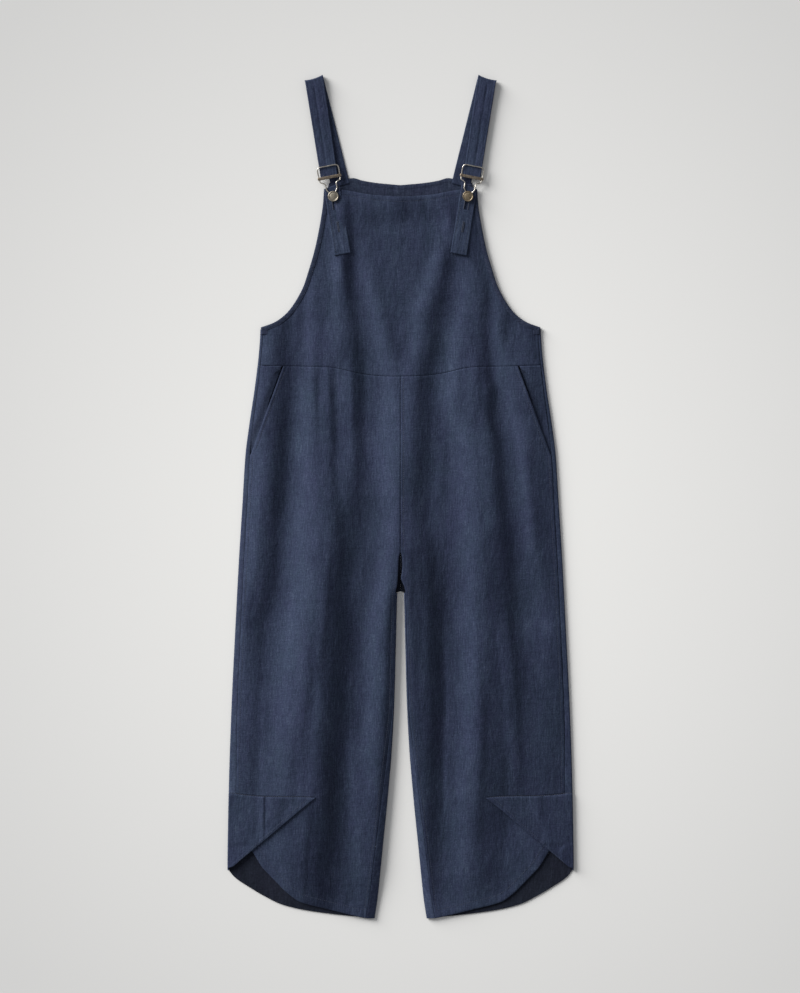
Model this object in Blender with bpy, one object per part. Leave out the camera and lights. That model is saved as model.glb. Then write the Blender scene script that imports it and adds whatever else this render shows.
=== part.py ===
"""Linen dungarees laid flat, face up, with the straps folded forward over the bib.

Metres, +Z up. The origin is on the surface below, under the centre of the
outline: +Y runs from the hems to the straps, +X to the right as seen from
above. Tables are in millimetres; left and right are as seen from above.
"""

import math

import bmesh
import bpy
import numpy as np

for old in list(bpy.data.objects):
    bpy.data.objects.remove(old, do_unlink=True)

MM = 0.001

# ---------------------------------------------------------------- sizes (mm)
WALL = 1.2  # one layer of linen with its seam allowance
BAND_WALL = 1.0  # binding on the armholes
STRAP_WALL = 2.0  # strap, sewn double
GAP = 0.3  # between neighbouring pieces
FRONT_Z = 3.0  # underside of the front panels where they lie flat
FOLD_OUT = 2.1  # outside radius of the soft fold down each side
FOLD_IN = FOLD_OUT - WALL
BAND_WIDTH = 6.4
BACK_FOLLOWS = 2.0  # the back rises with a ridge of the front past this height
FACING_UNDER = 24.0  # how far the pocket facing runs on under the front

UNDERARM_Y = 269.6
FRONT_CROTCH_Y = -88.8
BACK_CROTCH_Y = -152.8
POCKET_TOP_X = 187.4
POCKET_LOW_X, POCKET_LOW_Y = 239.3, 68.0
FACING_LOW_Y = 74.0
PETAL_TIP_X, PETAL_TIP_Y = 136.0, -481.5
PETAL_LOW_X, PETAL_LOW_Y = 275.0, -592.0

STRAP_FOLD_R = 3.0  # middle of the strap wall where it folds at the shoulder
TAB_TOP_L, TAB_TOP_R = (-122.0, 491.4), (-97.8, 500.3)
TAB_LOW_L, TAB_LOW_R = (-105.6, 384.4), (-79.6, 389.3)
TAB_SLIT = (13.0, 38.0)  # along the strap end, from its top
TAB_SLIT_HALF = 2.7
TAB_LIFT = 2.2  # the free end stands off the bib

BUCKLE_CENTRE, BUCKLE_TILT = (-113.6, 510.2), 11.2  # left one; degrees
WIRE_R = 1.0
SLIDE_HALF, SLIDE_DEPTH = (19.0, 2.2), 4.6
SLIDE_Z, SLIDE_PLATE = 7.0, 0.9
BUTTON_ALONG = -31.5
BUTTON_R, SHANK_R = 8.5, 2.2
BUTTON_LOW_Z, BUTTON_HEAD_Z = 4.5, 10.5

# ------------------------------------------------- outline, both halves alike
# columns: y, half width
ARMHOLE = (
    (493.0, 121.9), (471.2, 123.2), (432.8, 128.8), (394.4, 136.8),
    (356.0, 148.0), (336.8, 154.4), (317.6, 164.0), (298.4, 176.8),
    (285.0, 190.5), (277.0, 203.5), (UNDERARM_Y, 224.0),
)
BACK_ARMHOLE = ((502.3, 113.4), (485.0, 118.5), (468.0, 122.0)) + ARMHOLE[2:]
SIDE = (
    (UNDERARM_Y, 224.0), (240.8, 225.6), (183.2, 232.0), (106.4, 243.2),
    (68.0, 248.0), (-8.8, 252.8), (-104.8, 258.8), (-220.0, 264.8),
    (-335.2, 270.4), (-450.4, 274.4), (-527.2, 276.0), (-584.8, 276.8),
    (-640.0, 276.8), (-690.0, 276.8),
)
# columns: y, distance of the inner leg edge from the centre line
INNER_EDGE = (
    (FRONT_CROTCH_Y, 0.15), (-154.4, 5.2), (-246.0, 7.6), (-335.0, 10.2),
    (-412.0, 14.4), (-450.0, 17.6), (-498.0, 22.0), (-547.0, 27.0),
    (-605.0, 32.8), (-643.0, 36.8), (-674.4, 41.6),
)
# columns: y, how far the side seam lies in from the outline
SIDE_SEAM = (
    (260.0, 4.2), (183.2, 5.0), (26.0, 7.4), (-358.0, 9.6), (-470.0, 11.8),
    (-560.0, 11.8), (-583.0, 5.5), (-597.0, 2.5), (-690.0, 2.5),
)
# columns: y, how far the inner leg seam lies in from the leg's edge
INNER_SEAM = (
    (BACK_CROTCH_Y, 2.3), (-335.0, 2.5), (-400.0, 6.0), (-453.0, 8.3),
    (-600.0, 12.0), (-690.0, 13.4),
)
# columns: distance from the centre line, y
FRONT_TOP = ((0.0, 479.0), (50.0, 482.5), (80.0, 488.0), (98.0, 490.6), (125.0, 491.6))
BACK_TOP = ((0.0, 498.0), (43.0, 501.6), (68.0, 505.4), (84.2, 509.3), (114.0, 501.9))
WAIST = (
    (0.0, 191.8), (30.0, 192.6), (60.0, 196.0), (106.0, 205.6), (120.0, 207.0),
    (188.0, 208.6), (240.0, 210.4),
)
# columns: share of the leg's width from its inner edge, y
FRONT_HEM = (
    (0.0, -674.4), (0.08, -670.7), (0.28, -661.6), (0.49, -652.5), (0.59, -638.7),
    (0.67, -622.7), (0.77, -597.6), (0.86, -572.5), (1.0, -543.0),
)
BACK_HEM = (
    (0.0, -674.4), (0.22, -669.4), (0.475, -661.6), (0.64, -652.5), (0.765, -638.7),
    (0.88, -622.7), (0.965, -608.8), (1.0, -597.6),
)

# ------------------------------------------------------- largest soft folds
# columns: x and y of the crest at its top, middle and foot, half width of the
# ridge, height at the top, in the middle and at the foot
RIDGES = (
    # left side of the garment
    (-216, 150, -221, -20, -236, -190, 20, 1.2, 4.4, 0.6),
    (-116, 345, -104, 40, -140, -400, 27, 2.5, 6.6, 3.4),
    (-172, 262, -178, 190, -186, 120, 13, 1.2, 2.2, 0.8),
    (-20, -190, -28, -360, -52, -560, 22, 3.6, 5.0, 2.2),
    # middle of the bib and rise
    (4, 370, 10, 150, 2, -60, 30, 2.0, 5.4, 3.0),
    # right side of the garment
    (40, -130, 34, -330, 56, -570, 21, 3.8, 5.4, 2.4),
    (112, 300, 128, 20, 150, -380, 24, 1.8, 5.2, 1.6),
    (186, 250, 196, 150, 212, 60, 17, 1.2, 1.7, 0.8),
    (204, 40, 226, -110, 236, -260, 20, 0.8, 3.4, 0.6),
)


# --------------------------------------------------------------- arithmetic
def curve(table, at):
    """A smooth line through a table's rows, read at the value or values given."""
    rows = np.array(sorted(table), float)
    x, y = rows[:, 0], rows[:, 1]
    step = np.diff(y) / np.diff(x)
    slope = np.empty(len(x))
    slope[0], slope[-1] = step[0], step[-1]
    both = step[:-1] * step[1:]
    slope[1:-1] = np.where(
        both > 0, 2 * both / np.where(both > 0, step[:-1] + step[1:], 1), 0.0
    )
    at = np.clip(np.asarray(at, float), x[0], x[-1])
    i = np.clip(np.searchsorted(x, at) - 1, 0, len(x) - 2)
    h = x[i + 1] - x[i]
    t = (at - x[i]) / h
    return (
        (2 * t**3 - 3 * t**2 + 1) * y[i]
        + (t**3 - 2 * t**2 + t) * h * slope[i]
        + (3 * t**2 - 2 * t**3) * y[i + 1]
        + (t**3 - t**2) * h * slope[i + 1]
    )


def ease(low, high, at):
    t = np.clip((np.asarray(at, float) - low) / (high - low), 0, 1)
    return t * t * (3 - 2 * t)


def outer_edge(y):
    return curve(SIDE, y)


def inner_edge(y):
    return curve(INNER_EDGE, y)


def slant(y):
    """The pocket opening's edge, straight from the waist seam to the side seam."""
    top_y = curve(WAIST, POCKET_TOP_X)
    share = (top_y - y) / (top_y - POCKET_LOW_Y)
    return POCKET_TOP_X + share * (POCKET_LOW_X - POCKET_TOP_X)


def front_edge(y):
    """Outer edge of the front leg: the pocket opening, then the side seam."""
    seam = outer_edge(y) - curve(SIDE_SEAM, y) - GAP
    return np.where(y > POCKET_LOW_Y, np.minimum(slant(y), seam), seam)


def front_inner(y):
    """Inner edge of the front leg: the centre seam, then the inner leg seam."""
    free = inner_edge(y) + curve(INNER_SEAM, y) + GAP
    return np.where(
        y > FRONT_CROTCH_Y, GAP / 2, GAP / 2 + (free - GAP / 2) * ease(0, -40, y - FRONT_CROTCH_Y)
    )


def ridge_height(x, y):
    """Height of the front above flat, from the ridges that cross this point."""
    x, y = np.asarray(x, float), np.asarray(y, float)
    total = np.zeros(np.broadcast(x, y).shape)
    for x0, y0, x1, y1, x2, y2, half, h0, h1, h2 in RIDGES:
        crest = curve(((y2, x2), (y1, x1), (y0, x0)), y)
        height = curve(((y2, h2), (y1, h1), (y0, h0)), y)
        ends = ease(y0 + 45, y0, y) * ease(y2 - 70, y2, y)
        total = total + height * ends * np.exp(-(((x - crest) / half) ** 2))
    edge = np.where(y > UNDERARM_Y, curve(ARMHOLE, y), outer_edge(y))
    near_side = ease(4, 30, edge - np.abs(x))
    leg = np.where(y < FRONT_CROTCH_Y, inner_edge(y), -60.0)
    near_inner = ease(3, 22, np.abs(x) - leg)
    overlay = 1 - ease(98, 124, np.abs(x)) * ease(-425, -452, y)
    hem = ease(-676, -610, y) * 0.7 + 0.3
    return total * near_side * near_inner * overlay * hem


def back_lift(x, y):
    """How far the back rises under a tall ridge; it stays down under the pockets."""
    pocket = ease(134, 154, np.abs(x)) * ease(30, 56, y) * ease(250, 222, y)
    return np.maximum(0.0, ridge_height(x, y) - BACK_FOLLOWS) * (1 - pocket)


# ------------------------------------------------------------ mesh building
def add_object(name, verts, faces, look):
    mesh = bpy.data.meshes.new(name)
    mesh.from_pydata([tuple(float(c) * MM for c in v) for v in verts], [], faces)
    work = bmesh.new()
    work.from_mesh(mesh)
    bmesh.ops.recalc_face_normals(work, faces=work.faces)
    if work.calc_volume(signed=True) < 0:
        bmesh.ops.reverse_faces(work, faces=work.faces)
    work.to_mesh(mesh)
    work.free()
    obj = bpy.data.objects.new(name, mesh)
    bpy.context.scene.collection.objects.link(obj)
    colour, rough, metal = look
    material = bpy.data.materials.new(name + "_finish")
    material.use_nodes = True
    shader = material.node_tree.nodes["Principled BSDF"]
    shader.inputs["Base Color"].default_value = (*colour, 1)
    shader.inputs["Roughness"].default_value = rough
    shader.inputs["Metallic"].default_value = metal
    mesh.materials.append(material)
    return obj


def wall(name, outside, inside, look, keep=None):
    """A closed wall between two grids of points; keep says which cells exist."""
    rows, cols = outside.shape[:2]
    if keep is None:
        keep = np.ones((rows - 1, cols - 1), bool)
    used = np.zeros((rows, cols), bool)
    used[:-1, :-1] |= keep
    used[1:, :-1] |= keep
    used[:-1, 1:] |= keep
    used[1:, 1:] |= keep
    number = -np.ones((rows, cols), int)
    number[used] = np.arange(used.sum())
    count = int(used.sum())
    verts = [*outside[used], *inside[used]]
    faces = []
    for i in range(rows - 1):
        for j in range(cols - 1):
            if not keep[i, j]:
                continue
            a, b = number[i, j], number[i, j + 1]
            c, d = number[i + 1, j + 1], number[i + 1, j]
            faces.append((a, b, c, d))
            faces.append((d + count, c + count, b + count, a + count))
            for near, p, q in (
                ((i - 1, j), b, a), ((i + 1, j), d, c),
                ((i, j - 1), a, d), ((i, j + 1), c, b),
            ):
                there = 0 <= near[0] < rows - 1 and 0 <= near[1] < cols - 1
                if not (there and keep[near]):
                    faces.append((p, q, q + count, p + count))
    return add_object(name, verts, [tuple(int(n) for n in f) for f in faces], look)


def stacked(x, y, low, thick):
    """Two grids of points, one a wall's thickness above the other."""
    under = np.stack([x, y, np.broadcast_to(low, x.shape)], axis=-1)
    return under + np.array([0, 0, thick]), under


def mirrored(points, side):
    return points * np.array([side, 1, 1])


def cells(*stops):
    """Row positions: each stop is the value that its stretch ends at and its cells."""
    found = [0.0]
    for end, count in stops:
        found += list(np.linspace(found[-1], end, count + 1)[1:])
    return np.array(found)


# ------------------------------------------------------------- the looks
NAVY = ((0.033, 0.043, 0.085), 0.88, 0.0)
NAVY_DEEP = ((0.026, 0.034, 0.066), 0.9, 0.0)
NICKEL = ((0.56, 0.50, 0.40), 0.32, 1.0)
BRONZE = ((0.33, 0.25, 0.17), 0.4, 1.0)

# ----------------------------------------------------- legs, front and back
LEG_ROWS = cells((0.186, 4), (0.3237, 3), (0.3977, 2), (1.0, 13))


def leg_grid(shares, hem, left_of, right_of, side):
    """x and y of a leg's points: columns by share of its width, rows to the hem."""
    u, v = np.meshgrid(shares, LEG_ROWS)
    start = left_of(np.float64(205.0)) + u * (right_of(np.float64(205.0)) - left_of(np.float64(205.0)))
    top = curve(WAIST, start) - GAP / 2
    y = top + v * (curve(hem, u) - top)
    low, high = left_of(y), right_of(y)
    return side * (low + u * (high - low)), y


def front_leg(name, side):
    shares = np.linspace(0, 1, 12)
    x, y = leg_grid(shares, FRONT_HEM, front_inner, front_edge, side)
    outside, inside = stacked(x, y, FRONT_Z + ridge_height(x, y), WALL)
    wall(name, outside, inside, NAVY)


def arc(centre, inward, y, end, radius, low_side):
    """Section points round a side fold, from the floor up to the seam's edge.

    centre and end are distances from the centre line; inward is -1 at the
    outer edge and +1 at the inner leg edge.
    """
    points = []
    for angle in (45, 90, 135, 180):
        turn = math.radians(angle)
        z = np.full(y.shape, FOLD_OUT - radius * math.cos(turn))
        points.append(np.stack([centre - inward * radius * math.sin(turn), y, z], axis=-1))
    points.append(np.stack([end, y, np.full(y.shape, low_side)], axis=-1))
    return points


def back_leg(name, side):
    shares = np.linspace(0, 1, 10)

    def low(y):
        joined = GAP / 2
        return np.where(y > BACK_CROTCH_Y + 1, joined, np.maximum(inner_edge(y), joined) + FOLD_OUT)

    def high(y):
        return outer_edge(y) - FOLD_OUT

    x, y = leg_grid(shares, BACK_HEM, low, high, 1)
    lift = back_lift(side * x, y)
    floor_out = np.stack([x, y, lift], axis=-1)
    floor_in = np.stack([x, y, lift + WALL], axis=-1)
    edge_y, inner_y = y[:, -1], y[:, 0]
    seam = outer_edge(edge_y) - curve(SIDE_SEAM, edge_y)
    inner_seam = np.maximum(inner_edge(inner_y), GAP / 2) + curve(INNER_SEAM, inner_y)
    top = FRONT_Z + WALL
    columns_out = (
        arc(x[:, 0], 1, inner_y, inner_seam, FOLD_OUT, top)[::-1]
        + [floor_out[:, j] for j in range(len(shares))]
        + arc(x[:, -1], -1, edge_y, seam, FOLD_OUT, top)
    )
    columns_in = (
        arc(x[:, 0], 1, inner_y, inner_seam, FOLD_IN, FRONT_Z)[::-1]
        + [floor_in[:, j] for j in range(len(shares))]
        + arc(x[:, -1], -1, edge_y, seam, FOLD_IN, FRONT_Z)
    )
    outside = mirrored(np.stack(columns_out, axis=1), side)
    inside = mirrored(np.stack(columns_in, axis=1), side)
    keep = np.ones((len(LEG_ROWS) - 1, outside.shape[1] - 1), bool)
    joined = inner_y[:-1] > BACK_CROTCH_Y + 1
    keep[joined, :5] = False
    wall(name, outside, inside, NAVY_DEEP, keep)


def pocket_facing(name, side):
    """The layer seen in the pocket opening, running on under the front."""
    u, v = np.meshgrid(np.array([0, 0.45, 1.0]), np.linspace(0, 1, 6))
    top = curve(WAIST, 200.0) - GAP / 2
    y = top + v * (FACING_LOW_Y - top)
    low = slant(y) - FACING_UNDER
    high = outer_edge(y) - curve(SIDE_SEAM, y) - GAP
    y = np.where(v == 0, curve(WAIST, low + u * (high - low)) - GAP / 2, y)
    x = side * (low + u * (high - low))
    wall(name, *stacked(x, y, WALL + GAP, WALL), NAVY_DEEP)


def hem_petal(name, side):
    """The part of the back leg that wraps over the front leg at the hem."""
    v = np.linspace(0, 1, 8)[:, None]
    u = np.array([0, 0.2, 0.45, 0.72, 0.99])[None, :]
    top_out = -474.0
    tip_x = PETAL_TIP_X + v * (PETAL_LOW_X - 6 - PETAL_TIP_X)
    tip_y = PETAL_TIP_Y + v * (PETAL_LOW_Y - PETAL_TIP_Y)
    out_y = top_out + v * (PETAL_LOW_Y - 3 - top_out)
    x = outer_edge(out_y) * (1 - u) + tip_x * u
    y = out_y * (1 - u) + tip_y * u
    low = FRONT_Z + WALL + GAP
    wall(name, *stacked(side * x, y, low, WALL), NAVY)


# --------------------------------------------------------- bib, front, back
BIB_COLUMNS = np.array([0.14, 0.28, 0.42, 0.57, 0.72, 0.86])
BIB_COLUMNS = np.concatenate([-BIB_COLUMNS[::-1], [0.0], BIB_COLUMNS])


def armhole_width(table, y):
    return np.where(y > UNDERARM_Y, curve(table, y), outer_edge(y))


def band_inner(table, y):
    """Distance from the centre line of the binding's inner edge."""
    slope = (curve(table, y + 2) - curve(table, y - 2)) / 4
    lean = np.sqrt(1 + slope**2)
    inside = curve(table, y) - BAND_WIDTH * lean
    return np.where(y > UNDERARM_Y + 0.01, inside, outer_edge(y) - 2.2 * BAND_WIDTH)


def bib_grid(table, top, rows, trim):
    """Columns run edge, binding line, inner columns, binding line, edge."""
    v = rows[:, None]
    start = curve(top, np.abs(BIB_COLUMNS) * 112.0)[None, :]
    end = curve(WAIST, np.abs(BIB_COLUMNS) * 224.0)[None, :] + GAP / 2
    y = start + v * (end - start)
    edge_start, edge_end = curve(top, 124.0), curve(WAIST, 228.0) + GAP / 2
    edge_y = edge_start + v * (edge_end - edge_start)
    edge_x = armhole_width(table, edge_y) - trim(edge_y)
    line_x = band_inner(table, edge_y)
    inner_x = BIB_COLUMNS[None, :] * band_inner(table, y)
    x = np.hstack([-edge_x, -line_x, inner_x, line_x, edge_x])
    y = np.hstack([edge_y, edge_y, y, edge_y, edge_y])
    return x, y


def front_bib():
    share = (curve(FRONT_TOP, 124.0) - UNDERARM_Y) / (
        curve(FRONT_TOP, 124.0) - curve(WAIST, 228.0) - GAP / 2
    )
    rows = cells((0.6, 6), (share, 5), (1.0, 2))

    def trim(y):
        return (curve(SIDE_SEAM, y) + GAP) * ease(UNDERARM_Y + 18, UNDERARM_Y, y)

    x, y = bib_grid(ARMHOLE, FRONT_TOP, rows, trim)
    low = FRONT_Z + ridge_height(x, y)
    wall("front_bib", *stacked(x, y, low, WALL), NAVY)
    band = slice(0, 12)
    for name, cols in (
        ("armhole_band_front_left", (0, 1)),
        ("armhole_band_front_right", (-2, -1)),
    ):
        bx, by, bz = (a[band][:, list(cols)] for a in (x, y, low))
        # the binding's outer edge is the outline itself
        edge = np.argmax(np.abs(bx[0]))
        bx = bx.copy()
        bx[:, edge] = np.sign(bx[:, edge]) * armhole_width(ARMHOLE, by[:, edge])
        wall(name, *stacked(bx, by, bz + WALL + GAP, BAND_WALL), NAVY_DEEP)


def back_bib():
    first, last = curve(BACK_TOP, 124.0), curve(WAIST, 228.0) + GAP / 2
    share = (first - UNDERARM_Y) / (first - last)
    rows = cells((0.6, 5), (share, 4), (1.0, 2))

    def trim(y):
        return FOLD_OUT * ease(UNDERARM_Y + 1, UNDERARM_Y, y)

    x, y = bib_grid(BACK_ARMHOLE, BACK_TOP, rows, trim)
    lift = back_lift(x, y)
    floor_out = np.stack([x, y, lift], axis=-1)
    floor_in = floor_out + np.array([0, 0, WALL])
    edge_y, edge_x = y[:, -1], x[:, -1]
    seam = outer_edge(edge_y) - curve(SIDE_SEAM, edge_y)
    top = FRONT_Z + WALL
    right_out = arc(edge_x, -1, edge_y, seam, FOLD_OUT, top)
    right_in = arc(edge_x, -1, edge_y, seam, FOLD_IN, FRONT_Z)
    left_out = [mirrored(p, -1) for p in right_out[::-1]]
    left_in = [mirrored(p, -1) for p in right_in[::-1]]
    count = x.shape[1]
    outside = np.stack(left_out + [floor_out[:, j] for j in range(count)] + right_out, axis=1)
    inside = np.stack(left_in + [floor_in[:, j] for j in range(count)] + right_in, axis=1)
    keep = np.ones((len(rows) - 1, outside.shape[1] - 1), bool)
    keep[:9, :5] = False
    keep[:9, -5:] = False
    wall("back_bib", outside, inside, NAVY_DEEP, keep)
    for name, cols in (
        ("armhole_band_back_left", [0, 1]),
        ("armhole_band_back_right", [-2, -1]),
    ):
        bx, by = x[:10][:, cols], y[:10][:, cols]
        wall(name, *stacked(bx, by, WALL + GAP, BAND_WALL), NAVY_DEEP)


# ------------------------------------------------------ straps and hardware
def strap(name, side):
    """One strap: up from the back bib, over at the shoulder, down to the slide."""
    root_l, root_r = np.array([-113.3, 502.3]), np.array([-84.2, 509.9])
    fold_l, fold_r = np.array([-153.6, 665.4]), np.array([-124.6, 674.3])
    end_l, end_r = np.array([-127.4, 507.2]), np.array([-100.6, 512.7])
    shares = np.array([0.0, 0.27, 0.5, 0.73, 1.0])[:, None]
    across = (fold_r - fold_l) / np.linalg.norm(fold_r - fold_l)
    away = np.array([-across[1], across[0]])
    reach = STRAP_FOLD_R + STRAP_WALL / 2
    root_l = root_l + away * GAP
    root_r = root_r + away * GAP
    line_l, line_r = fold_l - away * reach, fold_r - away * reach
    outside, inside = [], []

    def row(left, right, flat_out, flat_in, out_z, in_z, crease):
        mid = left + (right - left) * shares
        bump = crease * np.array([0, 0.35, 1.0, 0.35, 0])
        outside.append(np.column_stack([mid + flat_out * away, np.full(5, out_z) + bump]))
        inside.append(np.column_stack([mid + flat_in * away, np.full(5, in_z) + bump]))

    for s in np.linspace(0, 1, 6)[:-1]:
        row(root_l + s * (line_l - root_l), root_r + s * (line_r - root_r), 0, 0, 0, STRAP_WALL, 0)
    outer_r, inner_r = STRAP_FOLD_R + STRAP_WALL / 2, STRAP_FOLD_R - STRAP_WALL / 2
    for angle in range(0, 181, 30):
        turn = math.radians(angle)
        row(
            line_l, line_r, outer_r * math.sin(turn), inner_r * math.sin(turn),
            outer_r - outer_r * math.cos(turn), outer_r - inner_r * math.cos(turn), 0,
        )
    top, under = 2 * outer_r, 2 * outer_r - STRAP_WALL
    for s in np.linspace(0, 1, 9)[1:]:
        crease = 0.7 * float(ease(0, 0.2, s) * ease(0.85, 0.6, s))
        row(line_l + s * (end_l - line_l), line_r + s * (end_r - line_r), 0, 0, top, under, crease)
    wall(name, mirrored(np.array(outside), side), mirrored(np.array(inside), side), NAVY)


def strap_end(name, side):
    """The strap's free end on the bib, with the buttonhole that the button is in."""
    top_l, top_r = np.array(TAB_TOP_L), np.array(TAB_TOP_R)
    low_l, low_r = np.array(TAB_LOW_L), np.array(TAB_LOW_R)
    length = np.linalg.norm((low_l + low_r) / 2 - (top_l + top_r) / 2)
    width = np.linalg.norm(top_r - top_l)
    slit = TAB_SLIT_HALF / width
    rows = np.array([0, TAB_SLIT[0], 24.0, TAB_SLIT[1], 56.0, 74.0, 92.0, length]) / length
    cols = np.array([0, 0.2, 0.5 - slit, 0.5 + slit, 0.8, 1.0])
    u, v = np.meshgrid(cols, rows)
    left = top_l + v[..., None] * (low_l - top_l)
    right = top_r + v[..., None] * (low_r - top_r)
    flat = left + u[..., None] * (right - left)
    low = FRONT_Z + WALL + GAP + BAND_WALL + GAP + TAB_LIFT * ease(0.45, 1, v)
    keep = np.ones((len(rows) - 1, len(cols) - 1), bool)
    keep[1:3, 2] = False
    wall(name, *stacked(side * flat[..., 0], flat[..., 1], low, STRAP_WALL), NAVY, keep)


def buckle_frame(side):
    """Turns the buckle's own across and along into x and y."""
    tilt = math.radians(BUCKLE_TILT)

    def placed(across, along, z):
        x = BUCKLE_CENTRE[0] + across * math.cos(tilt) - along * math.sin(tilt)
        y = BUCKLE_CENTRE[1] + across * math.sin(tilt) + along * math.cos(tilt)
        return np.array([-side * x if side > 0 else x, y, z])

    return placed


# columns: across from the middle, along the strap, height; one half of the wire
HOOK = (
    (0.0, 17.8, 9.4), (11.5, 17.8, 9.4), (15.6, 16.3, 9.1), (17.0, 12.4, 8.6),
    (17.0, 6.0, 7.4), (16.8, 2.4, 7.0), (16.8, -2.4, 7.0), (15.6, -6.4, 7.7),
    (11.6, -8.4, 8.4), (8.9, -11.2, 9.0), (8.7, -16.5, 9.2), (8.0, -20.4, 9.2),
    (5.3, -24.6, 9.2), (4.4, -28.0, 9.2), (4.6, -32.2, 9.2), (2.8, -35.7, 9.2),
    (0.0, -36.7, 9.2),
)


def hook(name, side):
    """The buckle's one bent wire, a rectangle over a keyhole loop."""
    placed = buckle_frame(side)
    half = [np.array(p) for p in HOOK]
    ring = half + [p * np.array([-1, 1, 1]) for p in half[-2:0:-1]]
    path = []
    for i, point in enumerate(ring):
        before, after, next_one = ring[i - 1], ring[(i + 1) % len(ring)], ring[(i + 2) % len(ring)]
        steps = 3 if np.linalg.norm(after - point) > 6 else 2
        for k in range(steps):
            t = k / steps
            path.append(
                0.5 * (2 * point + (after - before) * t
                       + (2 * before - 5 * point + 4 * after - next_one) * t * t
                       + (3 * point - before - 3 * after + next_one) * t**3)
            )
    data = bpy.data.curves.new(name, "CURVE")
    data.dimensions = "3D"
    data.bevel_depth = WIRE_R * MM
    data.bevel_resolution = 2
    data.use_fill_caps = True
    line = data.splines.new("POLY")
    line.points.add(len(path) - 1)
    line.use_cyclic_u = True
    for stop, point in zip(line.points, path):
        stop.co = (*(placed(*point) * MM), 1)
    obj = bpy.data.objects.new(name, data)
    bpy.context.scene.collection.objects.link(obj)
    material = bpy.data.materials.new(name + "_finish")
    material.use_nodes = True
    shader = material.node_tree.nodes["Principled BSDF"]
    shader.inputs["Base Color"].default_value = (*NICKEL[0], 1)
    shader.inputs["Roughness"].default_value = NICKEL[1]
    shader.inputs["Metallic"].default_value = NICKEL[2]
    data.materials.append(material)


def slide(name, side):
    """A flat sleeve round the strap and the wire's two sides."""
    placed = buckle_frame(side)

    def loop(half_x, half_z, corner):
        points = []
        for cx, cz, start in ((1, 1, 0), (-1, 1, 90), (-1, -1, 180), (1, -1, 270)):
            for angle in (0, 30, 60, 90):
                turn = math.radians(start + angle)
                points.append((cx * (half_x - corner) + corner * math.cos(turn),
                               cz * (half_z - corner) + corner * math.sin(turn)))
        return points

    outer = loop(SLIDE_HALF[0], SLIDE_HALF[1], 1.5)
    inner = loop(SLIDE_HALF[0] - SLIDE_PLATE, SLIDE_HALF[1] - SLIDE_PLATE, 0.6)
    rings = []
    for points, along in ((outer, 1), (outer, -1), (inner, -1), (inner, 1)):
        rings.append([placed(a, along * SLIDE_DEPTH / 2, SLIDE_Z + b) for a, b in points])
    verts = [p for ring in rings for p in ring]
    n = len(outer)
    faces = []
    for r in range(4):
        s = (r + 1) % 4
        for k in range(n):
            m = (k + 1) % n
            faces.append((r * n + k, r * n + m, s * n + m, s * n + k))
    add_object(name, verts, faces, BRONZE)


def button(name, side):
    """A turned metal button on a shank, with a shallow rim round a plain face."""
    centre = buckle_frame(side)(0.0, BUTTON_ALONG, 0.0)
    low, head = BUTTON_LOW_Z, BUTTON_HEAD_Z
    # columns: radius, height
    profile = (
        (SHANK_R, low), (SHANK_R, head), (BUTTON_R - 1.6, head), (BUTTON_R - 0.4, head + 0.5),
        (BUTTON_R, head + 1.2), (BUTTON_R - 0.3, head + 1.8), (BUTTON_R - 1.1, head + 2.1),
        (BUTTON_R - 1.8, head + 1.9), (BUTTON_R - 4.5, head + 2.2),
    )
    turns = 24
    verts, faces = [], []
    for radius, z in profile:
        for k in range(turns):
            angle = 2 * math.pi * k / turns
            verts.append((centre[0] + radius * math.cos(angle), centre[1] + radius * math.sin(angle), z))
    for r in range(len(profile) - 1):
        for k in range(turns):
            m = (k + 1) % turns
            faces.append((r * turns + k, r * turns + m, (r + 1) * turns + m, (r + 1) * turns + k))
    verts.append((centre[0], centre[1], low))
    verts.append((centre[0], centre[1], head + 2.3))
    last = (len(profile) - 1) * turns
    for k in range(turns):
        m = (k + 1) % turns
        faces.append((m, k, len(verts) - 2))
        faces.append((last + k, last + m, len(verts) - 1))
    add_object(name, verts, faces, NICKEL)


# ---------------------------------------------------------------- the object
front_bib()
back_bib()
for word, hand in (("left", -1), ("right", 1)):
    front_leg("front_leg_" + word, hand)
    back_leg("back_leg_" + word, hand)
    pocket_facing("pocket_facing_" + word, hand)
    hem_petal("hem_petal_" + word, hand)
    # the strap, its end and the hardware are laid out for the left and mirrored
    strap("strap_" + word, -hand)
    strap_end("strap_end_" + word, -hand)
    hook("buckle_" + word, hand)
    slide("slide_" + word, hand)
    button("button_" + word, hand)
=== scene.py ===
"""Linen dungarees laid flat, photographed from straight above.

The frame is the CAD part's: metres, +Z up, origin on the surface under the
centre of the outline, +Y from the hems to the straps. Tables are in
millimetres, unless a heading says that they are in the photo's pixels, where
one pixel is 1.6 mm. Left and right are as seen from above.
"""

import math

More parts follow.
